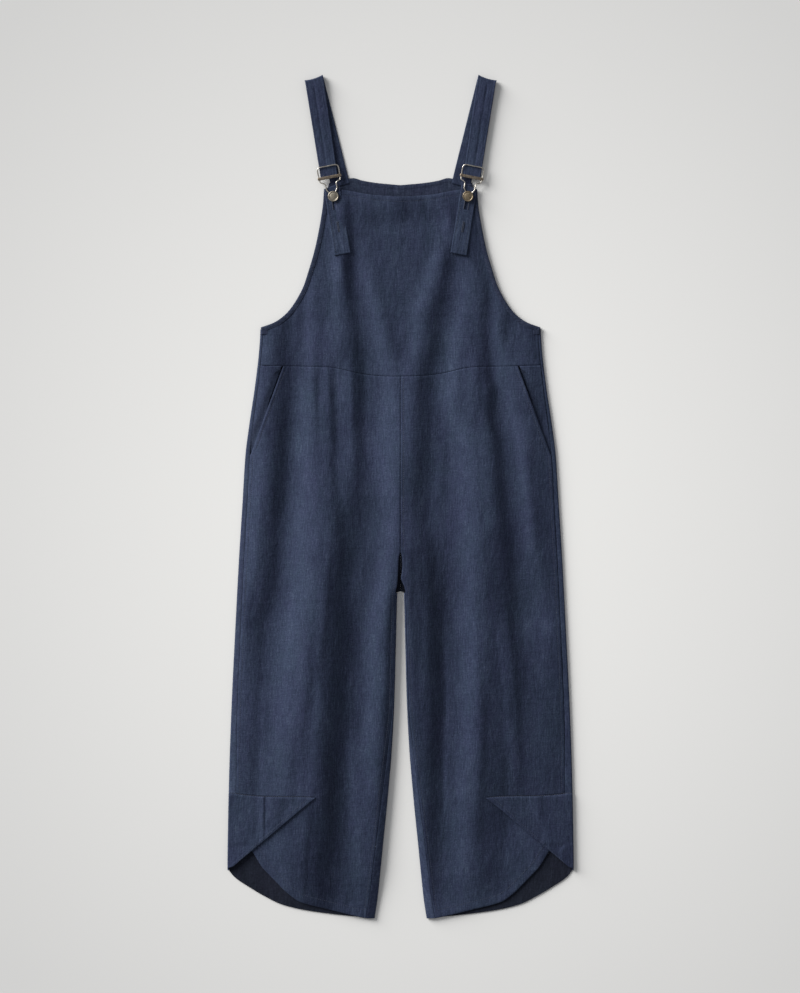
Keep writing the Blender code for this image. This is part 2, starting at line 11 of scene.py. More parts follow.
import bmesh
import bpy
import numpy as np
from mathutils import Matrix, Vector


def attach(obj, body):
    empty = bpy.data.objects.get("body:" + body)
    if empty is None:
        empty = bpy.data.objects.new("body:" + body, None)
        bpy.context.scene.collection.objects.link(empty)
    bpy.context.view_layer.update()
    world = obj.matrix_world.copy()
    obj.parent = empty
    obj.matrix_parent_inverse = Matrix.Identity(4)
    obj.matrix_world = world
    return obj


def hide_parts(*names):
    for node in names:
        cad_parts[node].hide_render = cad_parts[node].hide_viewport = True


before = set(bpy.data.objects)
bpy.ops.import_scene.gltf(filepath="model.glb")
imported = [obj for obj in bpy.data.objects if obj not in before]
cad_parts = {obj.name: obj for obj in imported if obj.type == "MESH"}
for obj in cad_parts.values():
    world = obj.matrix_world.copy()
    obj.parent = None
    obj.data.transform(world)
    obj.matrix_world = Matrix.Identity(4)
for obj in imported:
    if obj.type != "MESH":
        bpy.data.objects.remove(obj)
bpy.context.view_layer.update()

MM = 0.001
PIXEL = 1.6
ROWS_AT, COLS_AT = 496.5, 400.6  # the photo's pixel that lies over the origin

# ---------------------------------------------------------------- sizes (mm)
WALL = 1.2
GAP = 0.3
FRONT_Z = 3.0
FOLD_OUT = 2.1
FOLD_IN = FOLD_OUT - WALL
BAND_WIDTH = 6.4
BACK_FOLLOWS = 2.0
FACING_UNDER = 24.0

UNDERARM_Y = 269.6
FRONT_CROTCH_Y = -88.8
BACK_CROTCH_Y = -152.8
POCKET_TOP_X = 187.4
POCKET_LOW_X, POCKET_LOW_Y = 239.3, 68.0
FACING_LOW_Y = 63.0
PETAL_TIP_X, PETAL_TIP_Y = 136.0, -481.5
PETAL_LOW_X, PETAL_LOW_Y = 275.0, -592.0

STRAP_FOLD_R = 3.0
STRAP_WALL = 2.0
TAB_TOP_L, TAB_TOP_R = (-122.0, 491.4), (-97.8, 500.3)
TAB_LOW_L, TAB_LOW_R = (-105.6, 384.4), (-79.6, 389.3)
TAB_SLIT = (13.0, 38.0)
TAB_SLIT_HALF = 2.7
TAB_LIFT = 3.0

BUCKLE_CENTRE, BUCKLE_TILT = (-113.6, 510.2), 11.2
WIRE_R = 1.0
SLIDE_HALF, SLIDE_DEPTH = (19.0, 2.2), 4.6
SLIDE_Z, SLIDE_PLATE = 7.0, 0.9
BUTTON_ALONG = -31.5
BUTTON_R, SHANK_R = 8.5, 2.2
BUTTON_LOW_Z, BUTTON_HEAD_Z = 4.5, 10.5

# ------------------------------------------------- outline, both halves alike
# columns: y, half width
ARMHOLE = (
    (493.0, 121.9), (471.2, 123.2), (432.8, 128.8), (394.4, 136.8),
    (356.0, 148.0), (336.8, 154.4), (317.6, 164.0), (298.4, 176.8),
    (285.0, 190.5), (277.0, 203.5), (UNDERARM_Y, 224.0),
)
BACK_ARMHOLE = ((502.3, 113.4), (485.0, 118.5), (468.0, 122.0)) + ARMHOLE[2:]
SIDE = (
    (UNDERARM_Y, 224.0), (240.8, 225.6), (183.2, 232.0), (106.4, 243.2),
    (68.0, 248.0), (-8.8, 252.8), (-104.8, 258.8), (-220.0, 264.8),
    (-335.2, 270.4), (-450.4, 274.4), (-527.2, 276.0), (-584.8, 276.8),
    (-640.0, 276.8), (-690.0, 276.8),
)
# columns: y, distance of the inner leg edge from the centre line
INNER_EDGE = (
    (FRONT_CROTCH_Y, 0.15), (-154.4, 5.2), (-246.0, 7.6), (-335.0, 10.2),
    (-412.0, 14.4), (-450.0, 17.6), (-498.0, 22.0), (-547.0, 27.0),
    (-605.0, 32.8), (-643.0, 36.8), (-674.4, 41.6),
)
# how the front crotch gapes below the centre seam, and the right leg's small bulge
# columns: y, distance of the front leg's edge from the centre line
CROTCH_LEFT = (
    (FRONT_CROTCH_Y, 0.15), (-94.4, 2.3), (-101.6, 3.3), (-111.2, 3.8), (-125.0, 4.4),
    (-141.6, 5.6), (-150.0, 7.55),
)
CROTCH_RIGHT = (
    (FRONT_CROTCH_Y, 0.15), (-94.4, 1.8), (-101.6, 2.8), (-111.2, 3.0), (-120.8, 2.0),
    (-130.4, 0.6), (-136.8, 2.6), (-141.6, 5.2), (-150.0, 7.55),
)
# columns: y, how far the side seam lies in from the outline
SIDE_SEAM = (
    (260.0, 4.2), (183.2, 5.0), (26.0, 7.4), (-358.0, 9.6), (-470.0, 11.8),
    (-560.0, 11.8), (-583.0, 5.5), (-597.0, 2.5), (-690.0, 2.5),
)
# columns: y, how far the inner leg seam lies in from the leg's edge
INNER_SEAM = (
    (BACK_CROTCH_Y, 2.3), (-335.0, 2.5), (-400.0, 6.0), (-453.0, 8.3),
    (-600.0, 12.0), (-690.0, 13.4),
)
# columns: distance from the centre line, y
FRONT_TOP = ((0.0, 479.0), (50.0, 482.5), (80.0, 488.0), (98.0, 490.6), (125.0, 491.6))
BACK_TOP = ((0.0, 498.0), (43.0, 501.6), (68.0, 505.4), (84.2, 509.3), (114.0, 501.9))
WAIST = (
    (0.0, 191.8), (30.0, 192.6), (60.0, 196.0), (106.0, 205.6), (120.0, 207.0),
    (188.0, 208.6), (240.0, 210.4),
)
# columns: share of the leg's width from its inner edge, y
FRONT_HEM = (
    (0.0, -674.4), (0.08, -670.7), (0.28, -660.4), (0.49, -648.5), (0.59, -633.7),
    (0.67, -616.5), (0.77, -593.6), (0.86, -571.0), (1.0, -543.0),
)
BACK_HEM = (
    (0.0, -674.4), (0.22, -669.4), (0.475, -661.6), (0.64, -652.5), (0.765, -638.7),
    (0.88, -622.7), (0.965, -608.8), (1.0, -597.6),
)


# --------------------------------------------------------------- arithmetic
def curve(table, at):
    """A smooth line through a table's rows, read at the value or values given."""
    rows = np.array(sorted(table), float)
    x, y = rows[:, 0], rows[:, 1]
    step = np.diff(y) / np.diff(x)
    slope = np.empty(len(x))
    slope[0], slope[-1] = step[0], step[-1]
    both = step[:-1] * step[1:]
    slope[1:-1] = np.where(
        both > 0, 2 * both / np.where(both > 0, step[:-1] + step[1:], 1), 0.0
    )
    at = np.clip(np.asarray(at, float), x[0], x[-1])
    i = np.clip(np.searchsorted(x, at) - 1, 0, len(x) - 2)
    h = x[i + 1] - x[i]
    t = (at - x[i]) / h
    return (
        (2 * t**3 - 3 * t**2 + 1) * y[i]
        + (t**3 - 2 * t**2 + t) * h * slope[i]
        + (3 * t**2 - 2 * t**3) * y[i + 1]
        + (t**3 - t**2) * h * slope[i + 1]
    )


def ease(low, high, at):
    t = np.clip((np.asarray(at, float) - low) / (high - low), 0, 1)
    return t * t * (3 - 2 * t)


def bump(at, half):
    """1 at the middle, falling smoothly to nothing."""
    return np.exp(-((np.asarray(at, float) / half) ** 2))


def outer_edge(y):
    return curve(SIDE, y)


def inner_edge(y):
    return curve(INNER_EDGE, y)


def slant(y):
    """The pocket opening's edge, straight from the waist seam to the side seam."""
    top_y = curve(WAIST, POCKET_TOP_X)
    share = (top_y - y) / (top_y - POCKET_LOW_Y)
    return POCKET_TOP_X + share * (POCKET_LOW_X - POCKET_TOP_X)


def front_edge(y):
    """Outer edge of the front leg: the pocket opening, then the side seam."""
    seam = outer_edge(y) - curve(SIDE_SEAM, y) - GAP
    return np.where(y > POCKET_LOW_Y, np.minimum(slant(y), seam), seam)


def front_inner(y, side=-1):
    """Inner edge of the front leg: the centre seam, the crotch, then the inner leg seam."""
    free = inner_edge(y) + curve(INNER_SEAM, y) + GAP
    gape = curve(CROTCH_LEFT if side < 0 else CROTCH_RIGHT, y)
    return np.where(y > FRONT_CROTCH_Y, GAP / 2, np.where(y > -150.0, gape, free))


def armhole_width(table, y):
    return np.where(y > UNDERARM_Y, curve(table, y), outer_edge(y))


# ------------------------------------------------------------- soft creases
# Each crease face is a strip where the cloth climbs (+) or falls (-) to the
# right. Rows, in the photo's pixels: y, x of the strip's middle, half width,
# slope.
FACES = (
    # ---- left side: the outline's rise, then the deep crease off the pocket
    ((345, 264, 7, 0.20), (400, 254, 10, 0.22), (470, 252, 13, 0.26), (540, 248, 13, 0.22),
     (600, 241, 11, 0.14), (700, 236, 9, 0.08), (850, 233, 9, 0.05)),
    ((335, 281, 9, -0.09), (392, 284, 11, -0.13), (440, 282, 11, -0.21), (488, 279, 11, -0.22),
     (536, 274, 11, -0.20), (584, 270, 11, -0.17), (632, 259, 11, -0.12), (690, 259, 10, -0.06),
     (776, 253, 8, -0.08), (800, 250, 8, -0.04)),
    ((318, 302, 4, -0.12), (350, 301, 3, -0.03)),
    ((322, 290, 4, -0.10), (345, 287, 4, -0.04)),
    # ---- the main crease down the left leg: rise, then the long dark fall
    ((290, 309, 5, 0.20), (344, 308, 6, 0.16), (392, 304, 8, 0.20), (440, 303, 11, 0.22),
     (488, 305, 13, 0.24), (536, 302, 16, 0.23), (584, 301, 16, 0.23), (632, 294, 17, 0.23),
     (680, 290, 17, 0.19), (728, 286, 17, 0.15), (776, 277, 20, 0.11), (824, 275, 20, 0.10),
     (872, 279, 11, 0.10)),
    ((262, 346, 6, -0.18), (296, 350, 6, -0.18), (320, 353, 7, -0.14), (344, 356, 8, -0.17),
     (368, 358, 8, -0.19), (392, 360, 8, -0.20), (416, 359, 8, -0.20), (440, 360, 8, -0.16),
     (488, 358, 12, -0.12), (536, 350, 17, -0.14), (584, 344, 19, -0.19), (632, 342, 18, -0.24),
     (680, 338, 16, -0.26), (728, 336, 15, -0.28), (776, 333, 14, -0.28), (824, 331, 16, -0.24),
     (872, 324, 18, -0.20), (905, 322, 18, -0.16)),
    ((370, 335, 4, -0.09), (392, 334, 4, -0.11), (440, 334, 5, -0.10), (488, 334, 6, -0.09),
     (520, 335, 7, -0.08)),
    ((380, 343, 4, 0.07), (440, 343, 5, 0.06), (480, 342, 5, 0.05)),
    ((262, 335, 5, 0.16), (300, 336, 6, 0.12), (344, 332, 9, 0.08), (392, 323, 8, 0.10),
     (420, 318, 8, 0.08)),
    ((205, 348, 5, -0.13), (240, 350, 5, -0.20), (262, 349, 5, -0.16)),
    ((200, 333, 6, 0.26), (225, 333, 7, 0.12), (262, 334, 7, 0.14)),
    # ---- left leg, inner rise
    ((255, 360, 6, 0.10), (296, 370, 7, 0.18), (344, 379, 8, 0.20), (392, 389, 12, 0.18),
     (440, 387, 14, 0.21), (488, 388, 13, 0.21), (536, 388, 11, 0.21), (584, 382, 9, 0.22),
     (632, 374, 9, 0.23), (680, 373, 9, 0.18), (728, 369, 8, 0.15), (776, 367, 8, 0.10),
     (824, 362, 9, 0.04), (880, 358, 9, 0.02)),
    ((600, 393, 4, -0.24), (650, 390, 4, -0.20), (700, 388, 4, -0.24), (760, 384, 4, -0.22),
     (830, 380, 4, -0.14), (900, 376, 4, -0.08)),
    # ---- middle of the bib
    ((255, 436, 5, 0.14), (272, 430, 7, 0.15), (296, 422, 7, 0.18), (320, 415, 7, 0.13),
     (344, 413, 6, 0.14), (380, 408, 7, 0.08), (440, 404, 7, 0.08)),
    ((262, 447, 6, -0.18), (296, 441, 8, -0.15), (320, 435, 9, -0.16), (344, 434, 9, -0.17),
     (368, 428, 10, -0.16), (392, 426, 10, -0.16), (440, 424, 12, -0.16), (488, 420, 12, -0.15),
     (520, 421, 12, -0.12), (550, 428, 15, -0.16), (584, 432, 15, -0.24), (632, 436, 13, -0.27),
     (680, 436, 12, -0.27), (728, 436, 11, -0.27), (776, 435, 11, -0.22), (824, 434, 11, -0.18),
     (872, 432, 10, -0.12), (900, 431, 9, -0.08)),
    # ---- right leg, rise behind it
    ((262, 464, 8, 0.06), (296, 462, 8, 0.12), (344, 455, 8, 0.16), (392, 452, 12, 0.16),
     (440, 463, 15, 0.16), (488, 466, 15, 0.17), (536, 468, 14, 0.17), (584, 469, 12, 0.18),
     (632, 470, 12, 0.16), (680, 469, 12, 0.16), (728, 468, 10, 0.15), (776, 467, 11, 0.13),
     (824, 464, 12, 0.11), (872, 461, 13, 0.09)),
    ((205, 476, 6, -0.10), (250, 478, 6, -0.10), (296, 485, 6, -0.13), (320, 484, 6, -0.14),
     (344, 485, 6, -0.16), (368, 486, 6, -0.18), (392, 492, 7, -0.22), (416, 492, 7, -0.24),
     (440, 497, 7, -0.23), (488, 500, 8, -0.22), (536, 505, 9, -0.20), (584, 510, 9, -0.18),
     (632, 515, 10, -0.14), (680, 520, 11, -0.12), (728, 520, 13, -0.09), (800, 520, 16, -0.08)),
    ((300, 495, 4, 0.14), (330, 494, 4, 0.12), (368, 504, 8, 0.12), (416, 514, 8, 0.16),
     (440, 518, 8, 0.15), (488, 523, 8, 0.13), (536, 528, 8, 0.11), (584, 535, 9, 0.05),
     (632, 545, 9, 0.03)),
    ((300, 507, 3, -0.05), (330, 505, 4, -0.12), (350, 505, 3, -0.03)),
    ((320, 532, 8, -0.08), (392, 537, 10, -0.08), (488, 541, 12, -0.08), (584, 550, 14, -0.05)),
    # ---- wide, faint falls that leave the right side a little darker
    ((540, 492, 16, -0.05), (632, 492, 16, -0.09), (728, 496, 16, -0.11), (824, 490, 18, -0.11),
     (880, 488, 18, -0.09)),
    ((640, 560, 16, -0.06), (760, 556, 18, -0.08), (860, 552, 18, -0.10)),
)

# small creases laid across and beside the long ones, same columns
SMALL_FACES = (
    ((206, 372, 3, 0.05), (222, 374, 4, -0.05), (240, 379, 5, 0.03)),
    ((197, 402, 3, -0.12), (212, 404, 5, -0.11), (232, 402, 3, -0.03)),
    ((197, 415, 4, -0.06), (210, 424, 7, -0.06), (226, 428, 5, -0.02)),
    ((200, 441, 4, 0.06), (222, 445, 5, 0.12), (236, 446, 4, 0.03)),
    ((212, 453, 4, -0.10), (236, 456, 4, -0.12), (256, 452, 4, -0.06)),
    ((280, 378, 6, -0.04), (310, 386, 7, -0.06), (344, 394, 7, -0.08)),
    ((372, 316, 4, -0.06), (400, 316, 4, -0.07), (430, 318, 5, -0.05)),
    ((371, 346, 2.5, 0.08), (392, 343, 3, 0.08)),
    ((378, 438, 4, 0.08), (392, 444, 5, 0.12), (410, 446, 5, 0.03)),
    ((396, 402, 3, -0.07), (470, 402, 3, -0.08), (545, 401, 3, -0.10)),
    ((520, 340, 5, -0.10), (560, 342, 5, -0.12), (600, 336, 5, -0.08)),
    ((555, 357, 5, 0.05), (600, 352, 5, 0.05)),
    ((600, 303, 3, 0.06), (650, 301, 3, 0.06), (690, 299, 3, 0.04)),
    ((640, 310, 4, -0.07), (690, 309, 4, -0.10), (730, 304, 4, -0.07)),
    ((690, 318, 3, 0.05), (740, 314, 4, 0.06), (790, 309, 5, 0.05)),
    ((720, 296, 4, -0.04), (780, 292, 4, -0.09), (815, 290, 5, -0.04)),
    ((742, 352, 4, 0.08), (800, 352, 4, 0.07), (860, 355, 5, 0.05)),
    ((620, 418, 3, -0.07), (690, 416, 3, -0.06), (760, 420, 3, -0.03)),
    ((640, 500, 4, 0.06), (700, 505, 5, 0.06), (770, 512, 5, 0.06)),
    ((700, 481, 5, -0.06), (760, 482, 5, -0.08), (830, 480, 6, -0.08)),
    ((760, 506, 4, -0.05), (800, 503, 4, -0.08), (850, 500, 4, -0.03)),
    ((455, 530, 4, -0.08), (500, 533, 4, -0.06), (540, 538, 4, -0.04)),
    ((430, 447, 3, -0.06), (470, 446, 3, -0.06), (500, 443, 3, -0.05)),
    ((480, 436, 3, 0.07), (510, 432, 3, 0.05)),
    # ease taken up under the waist seam, and sharp little creases
    ((370, 304, 1.6, -0.12), (384, 305, 1.8, -0.10), (404, 307, 2.0, -0.04)),
    ((370, 312, 1.6, 0.13), (388, 311, 2.0, 0.08), (400, 311, 2.0, 0.03)),
    ((386, 317, 1.5, -0.14), (410, 317, 1.6, -0.15), (436, 318, 1.6, -0.08)),
    ((371, 330, 1.8, -0.13), (395, 331, 2.0, -0.12), (440, 333, 2.2, -0.10), (470, 333, 2.2, -0.04)),
    ((371, 338, 1.6, 0.12), (392, 338, 2.0, 0.09)),
    ((372, 349, 1.6, 0.15), (405, 349, 1.8, 0.12), (450, 350, 2.0, 0.10), (475, 351, 2.0, 0.04)),
    ((376, 368, 1.8, 0.10), (392, 369, 2.0, 0.06)),
    ((377, 378, 1.6, -0.09), (390, 379, 2.0, -0.05)),
    ((377, 391, 1.6, 0.08), (398, 391, 2.0, 0.05)),
    ((376, 421, 1.8, -0.09), (396, 420, 2.0, -0.06)),
    ((372, 448, 1.8, 0.12), (390, 449, 2.0, 0.08), (420, 449, 2.0, 0.03)),
    ((370, 459, 1.8, -0.10), (400, 460, 2.2, -0.07)),
    ((369, 471, 1.6, 0.09), (384, 471, 2.0, 0.06)),
    ((369, 480, 1.6, -0.10), (396, 480, 2.2, -0.07)),
    ((369, 499, 1.8, 0.10), (390, 500, 2.0, 0.06)),
    ((205, 335, 1.5, -0.08), (228, 336, 1.6, -0.05)),
    ((196, 360, 1.4, 0.10), (204, 360, 1.6, 0.06)),
    ((197, 372, 1.4, -0.10), (206, 372, 1.6, -0.06)),
    ((198, 388, 1.4, 0.10), (207, 388, 1.6, 0.05)),
    ((198, 412, 1.4, -0.10), (208, 412, 1.6, -0.06)),
    ((197, 428, 1.4, 0.10), (206, 428, 1.6, 0.05)),
    ((195, 443, 1.4, -0.08), (204, 443, 1.6, -0.05)),
    ((300, 294, 2.0, 0.10), (330, 291, 2.2, 0.06)),
    ((306, 285, 1.8, -0.10), (336, 280, 2.0, -0.06)),
    ((500, 262, 2.0, -0.06), (560, 260, 2.2, -0.08), (610, 250, 2.4, -0.08), (650, 248, 2.2, -0.04)),
    ((590, 291, 2.2, 0.05), (640, 288, 2.4, 0.07), (700, 282, 2.4, 0.05)),
    ((560, 331, 2.2, -0.08), (610, 328, 2.4, -0.10), (660, 322, 2.6, -0.08)),
    ((700, 262, 2.2, 0.08), (745, 261, 2.4, 0.09), (788, 262, 2.4, 0.05)),
    ((560, 412, 2.2, -0.10), (610, 412, 2.4, -0.08), (660, 414, 2.4, -0.05)),
    ((560, 424, 2.0, 0.08), (600, 425, 2.4, 0.07), (660, 426, 2.4, 0.04)),
    ((600, 478, 2.4, -0.06), (680, 482, 2.6, -0.07), (750, 486, 2.6, -0.05)),
    ((620, 510, 2.2, -0.08), (680, 516, 2.4, -0.08), (760, 521, 2.6, -0.06)),
    ((420, 474, 2.2, -0.06), (480, 478, 2.4, -0.07), (540, 484, 2.4, -0.05)),
    ((640, 446, 2.2, 0.10), (720, 447, 2.4, 0.10), (800, 445, 2.4, 0.08)),
    ((800, 312, 2.4, -0.08), (850, 308, 2.6, -0.09), (890, 306, 2.6, -0.06)),
)

# on the hem's left overlay: the sharp upright crease and its lit shoulder
PETAL_FACES = (
    ((783, 266.3, 0.9, -0.16), (800, 265.6, 0.9, -0.20), (822, 264.9, 1.0, -0.15), (838, 264.5, 1.0, -0.06)),
    ((783, 262.5, 2.4, 0.10), (815, 261.5, 2.6, 0.12), (838, 261.0, 2.6, 0.06)),
    ((783, 270.0, 2.2, 0.10), (805, 270.0, 2.4, 0.08), (822, 269.0, 2.4, 0.04)),
    ((800, 285.0, 4.0, -0.06), (815, 280.0, 4.0, -0.05)),
    ((842, 566.5, 1.2, -0.05), (846, 563.0, 1.2, 0.12), (850, 560.0, 1.2, 0.10)),
    ((791, 542.0, 1.2, -0.26), (799, 542.2, 1.3, -0.12)),
    ((802, 530.0, 4.0, 0.06), (830, 545.0, 4.0, 0.06)),
)

# the hidden back, seen from the front's side: wide creases in the same manner
BACK_FACES = (
    ((300, 300, 7, 0.12), (440, 292, 12, 0.16), (600, 286, 16, 0.15), (760, 280, 18, 0.10),
     (880, 282, 14, 0.06)),
    ((280, 330, 7, -0.11), (420, 332, 10, -0.15), (560, 326, 15, -0.17), (720, 322, 16, -0.16),
     (880, 320, 16, -0.10)),
    ((330, 361, 7, 0.08), (480, 368, 12, 0.12), (640, 364, 12, 0.12), (800, 358, 10, 0.06)),
    ((270, 384, 9, -0.06), (400, 390, 9, -0.08), (540, 394, 7, -0.06)),
    ((250, 420, 8, 0.07), (380, 414, 9, 0.09), (520, 411, 8, 0.08)),
    ((300, 446, 8, -0.10), (460, 442, 12, -0.12), (620, 446, 13, -0.17), (800, 440, 12, -0.10)),
    ((340, 474, 9, 0.10), (500, 478, 12, 0.14), (680, 480, 13, 0.12), (850, 476, 13, 0.06)),
    ((300, 498, 6, -0.12), (430, 508, 8, -0.15), (600, 516, 11, -0.12), (780, 520, 14, -0.08)),
    ((380, 528, 7, 0.08), (500, 536, 9, 0.09), (640, 546, 10, 0.05)),
)
CREST_LIMIT = 9.0
FOLD_TIP = 2.85  # how strongly the creases tip the cloth, over the heights in the mesh


def step_up(at):
    """From -0.5 to 0.5 as a crease face is crossed; its slope is a soft bell."""
    return np.tanh(1.15 * at) / 2


def faces_height(table, x, y, part=0):
    """Height from a table of crease faces, before it is levelled to the edges."""
    total = np.zeros(np.broadcast(x, y).shape)
    px, py = x / PIXEL + COLS_AT, ROWS_AT - y / PIXEL
    for rows in table:
        ys = [r[0] for r in rows]
        at_x = curve([(r[0], r[1]) for r in rows], py)
        half = curve([(r[0], r[2]) for r in rows], py)
        slope = curve([(r[0], r[3]) for r in rows], py)
        fade = 26.0
        ends = ease(ys[0] - fade, ys[0] + 6, py) * ease(ys[-1] + fade * 1.6, ys[-1] - 6, py)
        # an extra wander so that no crease runs like a ruled line
        wander = 0.55 * np.sin(py / 31.0 + ys[0]) + 0.3 * np.sin(py / 13.7 + rows[0][1])
        t = (px - at_x - wander) / half
        total = total + slope * ends * half * PIXEL * 1.74 * step_up(t)
    return total


def side_reach(y):
    return np.where(y > UNDERARM_Y, curve(ARMHOLE, y), outer_edge(y))


def levelled(table, x, y):
    """Crease heights brought to nothing at the outline and at the inner leg edges."""
    reach = side_reach(y)
    raw = faces_height(table, x, y)
    left = faces_height(table, -reach, y)
    right = faces_height(table, reach, y)
    inner = np.where(y < FRONT_CROTCH_Y, inner_edge(y), 0.0)
    mid_left = faces_height(table, -inner, y)
    mid_right = faces_height(table, inner, y)
    joined = ease(FRONT_CROTCH_Y - 4, FRONT_CROTCH_Y + 120, y)
    across = (x + reach) / (2 * reach)
    whole = left + across * (right - left)
    share_left = np.clip((x + reach) / (reach - inner), 0, 1)
    share_right = np.clip((x - inner) / (reach - inner), 0, 1)
    legs = np.where(
        x < 0, left + share_left * (mid_left - left), mid_right + share_right * (right - mid_right)
    )
    return raw - (joined * whole + (1 - joined) * legs)


def pillow(x, y):
    """The panels' own fullness: nothing at an edge, most in the middle."""
    reach = side_reach(y)
    inner = np.where(y < FRONT_CROTCH_Y, inner_edge(y), 0.0)
    share = np.clip((np.abs(x) - inner) / (reach - inner), 0, 1)
    leg = (4 * share * (1 - share)) ** 0.75
    body = np.clip(1 - (x / reach) ** 2, 0, 1) ** 0.6
    joined = ease(FRONT_CROTCH_Y - 30, FRONT_CROTCH_Y + 150, y)
    return joined * body + (1 - joined) * leg


def inner_rise(x, y):
    """The legs' inner folds stand full, the left one down to the hem, and shade the gap."""
    near = ease(40, 8, np.abs(x) - inner_edge(y))
    left = ease(-92, -150, y) * ease(-672, -575, y) * (4.8 + 0.9 * ease(-420, -240, y))
    right = 5.0 * ease(-92, -150, y) * ease(-440, -250, y)
    return np.where(x < 0, left, right) * near


def front_height(x, y):
    """How high the front lies above its flat level, in millimetres."""
    x, y = np.asarray(x, float), np.asarray(y, float)
    height = levelled(FACES + SMALL_FACES, x, y) + 3.0 * pillow(x, y)
    # never through the back, never beyond a soft crest
    low = 0.5 * (height + np.sqrt(height**2 + 0.5))
    top = CREST_LIMIT
    capped = np.where(low > top - 2.5, top - 2.5 + 2.5 * np.tanh((low - top + 2.5) / 2.5), low)
    hem = 0.35 + 0.65 * ease(-676, -640, y)
    at_top = 0.25 + 0.75 * ease(492, 470, y)
    edge = side_reach(y)
    armhole = np.where(y > UNDERARM_Y - 20, ease(0, 26, edge - np.abs(x)) * 0.8 + 0.2, 1.0)
    overlay = 1 - ease(84, 124, np.abs(x)) * ease(-360, -455, y)
    rim = ease(0, 9, edge - np.abs(x))
    leg_rim = np.where(y < FRONT_CROTCH_Y + 4, ease(0, 9, np.abs(x) - inner_edge(y)), 1.0)
    plain = capped * hem * at_top * armhole * overlay * rim * leg_rim
    return (plain**4 + inner_rise(x, y)**4) ** 0.25


def back_height(x, y):
    """How high the back's underside stands off the surface."""
    x, y = np.asarray(x, float), np.asarray(y, float)
    height = 0.55 * levelled(BACK_FACES, x, y) + 0.8 * pillow(x, y)
    low = 0.5 * (height + np.sqrt(height**2 + 0.3)) - 0.27
    room = np.maximum(front_height(x, y) + FRONT_Z - 2 * WALL - 0.5, 0.0)
    hem = 0.35 + 0.65 * ease(-676, -640, y)
    edge = side_reach(y)
    rim = ease(0, 14, edge - np.abs(x))
    leg_rim = np.where(y < BACK_CROTCH_Y + 4, ease(0, 12, np.abs(x) - inner_edge(y)), 1.0)
    pocket = ease(134, 154, np.abs(x)) * ease(30, 56, y) * ease(250, 222, y)
    limit = np.where(pocket > 0, np.minimum(room, 1.0 - 0.9 * pocket), room)
    return np.maximum(np.minimum(low, limit), 0.0) * hem * rim * leg_rim



def front_lean(x, y, height):
    """Slopes that the creases add beyond the heights that are in the mesh.

    The creases run down the cloth, so what they do along it is softened.
    """
    across, along = grid_slopes(x, y, FOLD_TIP * faces_height(FACES + SMALL_FACES, x, y))
    has_across, has_along = grid_slopes(x, y, height)
    return across - has_across, 0.45 * along - has_along


def back_lean(x, y, lift):
    """The same for the back's creases, on a face that lies downwards."""
    across, along = grid_slopes(x, y, 2.6 * faces_height(BACK_FACES, x, y))
    has_across, has_along = grid_slopes(x, y, lift)
    return has_across - across, has_along - 0.45 * along


# ------------------------------------------------------------ mesh building
def add_mesh(name, verts, faces, cut, material, smooth=True, lean=None, inner=None, inner_from=0):
    """One object from points in millimetres; cut is each point's place on the cloth.

    lean is how far each point's surface tips beyond what its grid can carry.
    """
    mesh = bpy.data.meshes.new(name)
    verts = np.asarray(verts, float) * MM
    faces = np.asarray(faces, np.int32)
    mesh.vertices.add(len(verts))
    mesh.vertices.foreach_set("co", verts.ravel())
    mesh.loops.add(faces.size)
    mesh.loops.foreach_set("vertex_index", faces.ravel())
    mesh.polygons.add(len(faces))
    mesh.polygons.foreach_set("loop_start", np.arange(0, faces.size, faces.shape[1], dtype=np.int32))
    if inner is not None:
        # the inner faces take a second material, a darker copy of the linen with shade painted in
        mesh.polygons.foreach_set("material_index", (faces.min(axis=1) >= inner_from).astype(np.int32))
    mesh.update(calc_edges=True)
    mesh.validate()
    work = bmesh.new()
    work.from_mesh(mesh)
    bmesh.ops.recalc_face_normals(work, faces=work.faces)
    if work.calc_volume(signed=True) < 0:
        bmesh.ops.reverse_faces(work, faces=work.faces)
    work.to_mesh(mesh)
    work.free()
    if cut is not None:
        layer = mesh.attributes.new("cut", "FLOAT_VECTOR", "POINT")
        layer.data.foreach_set("vector", (np.asarray(cut, float) * MM).ravel().astype(np.float32))
        tip = np.zeros((len(verts), 3)) if lean is None else np.asarray(lean, float)
        layer = mesh.attributes.new("lean", "FLOAT_VECTOR", "POINT")
        layer.data.foreach_set("vector", tip.ravel().astype(np.float32))
    if smooth:
        mesh.polygons.foreach_set("use_smooth", np.ones(len(mesh.polygons), bool))
    mesh.materials.append(material)
    if inner is not None:
        mesh.materials.append(inner)
    obj = bpy.data.objects.new(name, mesh)
    bpy.context.scene.collection.objects.link(obj)
    return obj


def grid_slopes(x, y, height):
    """Slopes along x and y of heights on a grid of points, in its own rows and columns."""
    xu, yu, hu = (np.gradient(a, axis=1) for a in (x, y, height))
    xv, yv, hv = (np.gradient(a, axis=0) for a in (x, y, height))
    area = xu * yv - xv * yu
    area = np.where(np.abs(area) < 1e-9, 1e-9, area)
    return (hu * yv - hv * yu) / area, (xu * hv - xv * hu) / area


